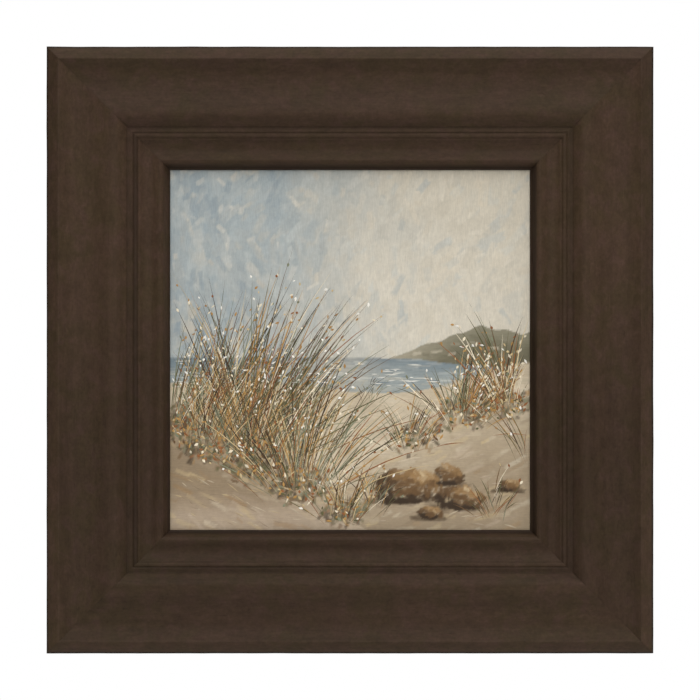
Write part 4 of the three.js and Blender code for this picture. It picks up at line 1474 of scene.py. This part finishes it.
def build_staples(finish):
    """Twenty staples: a rounded flat wire bent into a crown and two legs, each a little askew."""
    rng = np.random.default_rng(5)
    wire, breadth, crown, leg_end = 0.7 * MM, 1.2 * MM, 10 * MM, 8.7 * MM
    in_from_edge = 9 * MM
    level = CANVAS_REAR - 0.6 * MM
    leg = crown / 2 - wire / 2
    path = bent_path([(-leg, leg_end), (-leg, level), (leg, level), (leg, leg_end)], 0.55 * MM)
    across, along_side, height = strip(path, breadth, wire, 0.2 * MM)
    made = []
    for side in range(4):
        for k in range(5):
            place = (k - 2) * STAPLE_PITCH + rng.normal(0, 0.7 * MM)
            reach = CANVAS_HALF - in_from_edge + rng.normal(0, 0.4 * MM)
            skew = rng.normal(0, 0.09)
            turned = along_side * math.cos(skew) - across * math.sin(skew)
            away = along_side * math.sin(skew) + across * math.cos(skew)
            made.append(on_side(side, place + turned, reach + away, height))
    points = np.stack(made)
    names = [f"staple_{side}_{k + 1}" for side in SIDES for k in range(5)]
    return piece("canvas_staples", points.reshape(-1, 3), tubes(points), [finish],
                 names, sharp=40.0)


def draw_to_back(mesh):
    """Draws rear edges out until they show: y less than sunk from the back is set just past it."""
    sunk, past = 1.0 * MM, 0.05 * MM
    spots = np.empty(3 * len(mesh.vertices), np.float32)
    mesh.vertices.foreach_get("co", spots)
    spots = spots.reshape(-1, 3)
    spots[spots[:, 1] > BACK_Y - sunk, 1] = BACK_Y + past
    mesh.vertices.foreach_set("co", spots.ravel())
    mesh.update()


def build_clips(finish):
    """Four bent strip clips, each a foot on the rail, a step and a toe on the canvas.

    Both ends are rounded: there the breadth shrinks by how far a quarter circle falls away.
    """
    breadth, steel = 14 * MM, 1.2 * MM
    foot_end, step, toe_end = 169 * MM, 151.6 * MM, 143 * MM
    foot, toe = -0.9 * MM, 2.1 * MM
    spread = np.array([0, 0.35, 0.9, 1.8, 3.0])
    path = bent_path([(foot_end, foot), (step, foot), (step, toe), (toe_end, toe)], 1.0 * MM, 7)
    lead = np.stack([foot_end - spread * MM, np.full(5, foot)], axis=1)
    tail = np.stack([toe_end + spread[::-1] * MM, np.full(5, toe)], axis=1)
    path = np.concatenate([lead, path[1:-1], tail])
    from_end = np.minimum(along(path), along(path)[-1] - along(path))
    curve, cut_share, arris = 3.0 * MM, 0.93, 0.28 * MM
    cut = curve - np.sqrt(np.maximum(curve**2 - np.maximum(curve - from_end, 0) ** 2, 0))
    place, reach, height = strip(path, breadth - 2 * cut * cut_share, steel, arris, CLIP_PLACE)
    points = np.stack([on_side(side, place, reach, height) for side in range(4)])
    return piece("canvas_clips", points.reshape(-1, 3), tubes(points), [finish],
                 [f"canvas_clip_{side}" for side in SIDES], sharp=40.0)


def turned_rings(radius, height, segments):
    """A turned form: rings of the given radii and heights about an axis, as offsets and heights."""
    angle = np.arange(segments) * 2 * math.pi / segments
    x = np.multiply.outer(radius, np.cos(angle))
    z = np.multiply.outer(radius, np.sin(angle))
    return x, z, np.broadcast_to(np.asarray(height)[:, None], x.shape).copy()


def build_screws(finish):
    """Four pan head screws: a turned head and shank, with a cross sunk into the head.

    The cross is two bars with tapering ends: its depth is a smooth step of the distance to the
    nearer bar's side, times a smooth step of the distance from the middle.
    """
    seat, crown = -1.5 * MM, -3.35 * MM
    dome_rings, thread_rings = 17, 31
    dome = np.linspace(0, 1, dome_rings)
    head_r = np.concatenate([[0.02], dome[1:] * 2.85, [3.1, 3.2, 3.2, 3.0]]) * MM
    sag = 0.35 * MM * dome**2
    rim = [crown + 0.6 * MM, crown + 1.0 * MM, seat - 0.2 * MM, seat]
    head_h = np.concatenate([crown + sag, rim])
    shank_h = np.linspace(seat + 0.1 * MM, 9.0 * MM, thread_rings)
    shank_r = (1.32 + 0.18 * (np.arange(thread_rings) % 2)) * MM
    shank_r[:2] = 1.5 * MM
    radius = np.concatenate([head_r, shank_r, [0.7 * MM, 0.1 * MM]])
    height = np.concatenate([head_h, shank_h, [10.8 * MM, 12 * MM]])
    x, z, h = turned_rings(radius, height, 48)
    u, v = (x + z) / math.sqrt(2), (x - z) / math.sqrt(2)
    wing, deep = 0.42 * MM, 1.0 * MM
    bar = np.minimum(np.abs(u), np.abs(v))
    far = np.maximum(np.abs(u), np.abs(v))
    sunk = smooth_step(-bar, -wing, -wing * 0.35) * smooth_step(-far, -1.9 * MM, -0.7 * MM)
    h[:dome_rings] += deep * sunk[:dome_rings]
    points = np.stack([on_side(side, CLIP_PLACE + x, SCREW_REACH + z, h) for side in range(4)])
    return piece("clip_screws", points.reshape(-1, 3), tubes(points), [finish],
                 [f"clip_screw_{side}" for side in SIDES], sharp=40.0)


def build_hanger_nails(finish):
    """Two round headed nails through the hanger's feet: a quarter circle turned, and a shank."""
    base = -1.3 * MM
    arc = np.radians(np.linspace(2, 90, 12))
    head_r = np.concatenate([np.sin(arc) * 2.2, [2.2, 2.05]]) * MM
    head_h = base - np.concatenate([np.cos(arc) * 0.95, [-0.15, -0.25]]) * MM
    radius = np.concatenate([head_r, [0.8 * MM, 0.8 * MM, 0.1 * MM]])
    height = np.concatenate([head_h, [base + 0.3 * MM, 7.5 * MM, 9.8 * MM]])
    x, z, h = turned_rings(radius, height, 32)
    low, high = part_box("sawtooth_hanger")
    middle = (low.z + high.z) / 2
    points = np.stack([
        np.stack([side * HANGER_NAIL_PLACE + x, BACK_Y - h, middle + z], axis=-1)
        for side in (-1, 1)
    ])
    return piece("hanger_nails", points.reshape(-1, 3), tubes(points), [finish],
                 ["hanger_nail_left", "hanger_nail_right"], sharp=45.0)


def build_bumpers(finish):
    """Two moulded rubber bumpers: turned pads with rounded rims and a shallow dish in the face."""
    arc = np.radians(np.linspace(0, 90, 9))
    dish = np.linspace(0.02, 5.6, 12) * MM
    rim_r = (6.1 + 0.9 * np.sin(arc)) * MM
    rim_h = 0.9 * MM * (1 - np.cos(arc))
    sink = 0.35 * MM * smooth_step(-dish, -5.0 * MM, -3.2 * MM)
    radius = np.concatenate([dish, rim_r, [7.0 * MM, 6.9 * MM, 6.9 * MM]])
    depth = np.concatenate([sink, rim_h, [3.6 * MM, 3.75 * MM, 4.5 * MM]])
    x, z, from_wall = turned_rings(radius, depth, 56)
    low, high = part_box("bumper_left")
    middle = (low.z + high.z) / 2
    reach = -(low.x + high.x) / 2
    points = np.stack([
        np.stack([side * reach + x, -from_wall, middle + z], axis=-1) for side in (-1, 1)
    ])
    return piece("wall_bumpers", points.reshape(-1, 3), tubes(points), [finish],
                 ["bumper_left", "bumper_right"], sharp=45.0)


# ---- operators ----


class PICTURE_OT_moulding(Operator):
    """Build the four moulded rails of the frame"""

    bl_idname = "picture.moulding"
    bl_label = "Moulded Frame"

    def execute(self, context):
        settings = context.scene.picture_project.moulding
        section = moulding_section(settings.ease)
        finishes = [stained_finish(settings, upright) for upright in (False, True)]
        for side in range(4):
            build_rail(side, section, settings, finishes[side % 2])
        return {"FINISHED"}


class PICTURE_OT_canvas(Operator):
    """Paint the coast and build the stretched canvas with its raised marks of paint"""

    bl_idname = "picture.canvas"
    bl_label = "Painted Canvas"

    def execute(self, context):
        settings = context.scene.picture_project.picture
        paint, relief, part = paint_coast(settings.seed)
        painted = painted_finish()
        gesso = tuple(settings.gesso)
        unpainted = tuple(settings.unpainted)
        primed = cloth_finish("primed_cloth", gesso, tuple(v * 0.8 for v in gesso))
        raw = cloth_finish("raw_cloth", unpainted, tuple(v * 0.66 for v in unpainted))
        cloth = build_canvas(settings, paint, relief, part, [painted, primed, raw])
        marks = build_strokes(settings, relief, painted)
        folds = build_corner_folds(primed)
        return {"FINISHED"}


class PICTURE_OT_stretcher(Operator):
    """Build the stretcher's bars and its wedge keys"""

    bl_idname = "picture.stretcher"
    bl_label = "Stretcher"

    def execute(self, context):
        settings = context.scene.picture_project.stretcher
        pine = [
            planed_finish(name, tuple(settings.pine), tuple(settings.pine_grain), upright)
            for name, upright in (("pine_level", False), ("pine_upright", True))
        ]
        beech = tuple(settings.beech)
        keys = planed_finish("key_beech", beech, tuple(v * 0.55 for v in beech), True, 420.0)
        for k, name in enumerate(SIDES):
            eased_copy(f"bar_{name}", [f"stretcher_{name}"], pine[k % 2],
                       0.45 * MM)
        eased_copy("wedge_keys", [f"key_{name}_{k}" for name in SIDES for k in (1, 2)], keys,
                   0.3 * MM)
        return {"FINISHED"}


class PICTURE_OT_fixings(Operator):
    """Build the staples, V-nails, clips and screws"""

    bl_idname = "picture.fixings"
    bl_label = "Fixings"

    def execute(self, context):
        steel = tuple(context.scene.picture_project.fixings.steel)
        dull = tuple(v * 0.62 for v in steel)
        wire = metal_finish("staple_steel", steel, dull, 0.30)
        zinc = metal_finish("clip_zinc", steel, dull, 0.36, 700.0)
        build_staples(wire)
        nodes = [f"v_nail_{name}_{k}" for name in SIDES for k in (1, 2)]
        nails = eased_copy("frame_v_nails", nodes, wire, 0.08 * MM)
        draw_to_back(nails.data)
        build_clips(zinc)
        build_screws(zinc)
        return {"FINISHED"}


class PICTURE_OT_hanger(Operator):
    """Build the sawtooth hanger, its nails and the rubber bumpers"""

    bl_idname = "picture.hanger"
    bl_label = "Hanger and Bumpers"

    def execute(self, context):
        settings = context.scene.picture_project.hanger
        brass = tuple(settings.brass)
        plated = metal_finish("hanger_brass", brass, tuple(v * 0.5 for v in brass), 0.26, 800.0)
        eased_copy("hanger_strip", ["sawtooth_hanger"], plated, 0.16 * MM)
        build_hanger_nails(plated)
        build_bumpers(rubber_finish(tuple(settings.rubber)))
        return {"FINISHED"}


# broad soft lights of the room: (tilt from the viewer's side, turn clockwise from the top) in
# degrees, and strength
SOFT_LIGHTS = (
    (30, 0, 1.39), (50, 0, 2.07), (100, 0, 0.85), (100, 45, 2.0), (100, 315, 0.15), (150, 330, 1.3),
)


def room_light(nodes, links, settings):
    """Strength of the room's light by direction: a sum of broad round glows.

    Each glow falls off as e to the power of (the cosine of the angle from its middle, less 1)
    over the spread.
    """
    coordinates = nodes.new("ShaderNodeTexCoord")
    total = None
    for tilt, turn, strength in SOFT_LIGHTS:
        tilt, turn = math.radians(tilt), math.radians(turn)
        facing = nodes.new("ShaderNodeVectorMath")
        facing.operation = "DOT_PRODUCT"
        links.new(coordinates.outputs["Generated"], facing.inputs[0])
        facing.inputs[1].default_value = (
            math.sin(tilt) * math.sin(turn), -math.cos(tilt), math.sin(tilt) * math.cos(turn)
        )
        fall = nodes.new("ShaderNodeMath")
        fall.operation = "MULTIPLY_ADD"
        links.new(facing.outputs["Value"], fall.inputs[0])
        fall.inputs[1].default_value = 1 / settings.spread
        fall.inputs[2].default_value = -1 / settings.spread
        glow = nodes.new("ShaderNodeMath")
        glow.operation = "EXPONENT"
        links.new(fall.outputs[0], glow.inputs[0])
        summed = nodes.new("ShaderNodeMath")
        summed.operation = "MULTIPLY_ADD"
        links.new(glow.outputs[0], summed.inputs[0])
        summed.inputs[1].default_value = strength * settings.light
        summed.inputs[2].default_value = 0.0
        if total is not None:
            links.new(total, summed.inputs[2])
        total = summed.outputs[0]
    return total


def light_room(scene, settings):
    """The room: plain white where the camera sees it, and the soft glows for all other light."""
    world = bpy.data.worlds.new("room")
    scene.world = world
    world.use_nodes = True
    nodes, links = world.node_tree.nodes, world.node_tree.links
    nodes.clear()
    seen = nodes.new("ShaderNodeBackground")
    seen.inputs["Color"].default_value = (1.0, 1.0, 1.0, 1.0)
    room = nodes.new("ShaderNodeBackground")
    room.inputs["Color"].default_value = (*settings.glow, 1.0)
    links.new(room_light(nodes, links, settings), room.inputs["Strength"])
    path = nodes.new("ShaderNodeLightPath")
    either = nodes.new("ShaderNodeMixShader")
    output = nodes.new("ShaderNodeOutputWorld")
    links.new(path.outputs["Is Camera Ray"], either.inputs[0])
    links.new(room.outputs[0], either.inputs[1])
    links.new(seen.outputs[0], either.inputs[2])
    links.new(either.outputs[0], output.inputs["Surface"])


def place_camera(scene, settings):
    """The camera straight in front of the picture's middle."""
    camera = bpy.data.objects.new("camera", bpy.data.cameras.new("camera"))
    scene.collection.objects.link(camera)
    camera.data.sensor_width = 36.0
    camera.data.lens = settings.lens
    camera.location = (0.0, -settings.distance, CENTRE_Z)
    camera.rotation_euler = (math.radians(90), 0.0, 0.0)
    camera.data.clip_start = 0.05
    scene.camera = camera


def build_floor(scene, settings):
    """A round floor below the picture: rings of 96 points from the middle out."""
    segments = 96
    reaches = np.linspace(0.0, settings.floor_reach, 12)
    x, y, level = turned_rings(reaches, np.full(len(reaches), settings.floor_level), segments)
    points = np.stack([x, y, level], axis=-1).reshape(-1, 3)
    mesh = bpy.data.meshes.new("floor")
    mesh.from_pydata(points.tolist(), [], joined(len(reaches), segments).tolist())
    mesh.materials.append(floor_finish(tuple(settings.floor)))
    floor = bpy.data.objects.new("floor", mesh)
    scene.collection.objects.link(floor)


class PICTURE_OT_stage(Operator):
    """Set up the floor, the room's soft light and the camera"""

    bl_idname = "picture.stage"
    bl_label = "Stage"

    def execute(self, context):
        settings = context.scene.picture_project.stage
        place_camera(context.scene, settings)
        build_floor(context.scene, settings)
        light_room(context.scene, settings)
        context.scene.view_settings.view_transform = "Standard"
        return {"FINISHED"}


class PICTURE_PT_parts(Panel):
    """The picture's pieces, in the order in which they are made"""

    bl_idname = "PICTURE_PT_parts"
    bl_label = "Framed Canvas Picture"
    bl_space_type = "VIEW_3D"
    bl_region_type = "UI"
    bl_category = "Picture"

    def draw(self, context):
        """A button for each step, with the settings that it reads in a box below it."""
        project = context.scene.picture_project
        for operator, group in STEPS:
            self.layout.operator(operator.bl_idname)
            box = self.layout.box()
            for key in getattr(project, group).__annotations__:
                box.prop(getattr(project, group), key)


STEPS = (
    (PICTURE_OT_moulding, "moulding"),
    (PICTURE_OT_canvas, "picture"),
    (PICTURE_OT_stretcher, "stretcher"),
    (PICTURE_OT_fixings, "fixings"),
    (PICTURE_OT_hanger, "hanger"),
    (PICTURE_OT_stage, "stage"),
)
GROUPS = (
    MouldingSettings, PictureSettings, StretcherSettings, FixingSettings, HangerSettings,
    StageSettings, PictureProject,
)


def register():
    """Registers the settings, the operators and the panel."""
    for group in GROUPS:
        bpy.utils.register_class(group)
    for operator, _ in STEPS:
        bpy.utils.register_class(operator)
    bpy.utils.register_class(PICTURE_PT_parts)
    bpy.types.Scene.picture_project = PointerProperty(type=PictureProject)


def unregister():
    """Undoes register."""
    del bpy.types.Scene.picture_project
    bpy.utils.unregister_class(PICTURE_PT_parts)
    for operator, _ in reversed(STEPS):
        bpy.utils.unregister_class(operator)
    for group in reversed(GROUPS):
        bpy.utils.unregister_class(group)


def main():
    """Builds every piece and the stage in order."""
    register()
    bpy.ops.picture.moulding()
    bpy.ops.picture.canvas()
    bpy.ops.picture.stretcher()
    bpy.ops.picture.fixings()
    bpy.ops.picture.hanger()
    bpy.ops.picture.stage()
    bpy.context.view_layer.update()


if __name__ == "__main__":
    main()
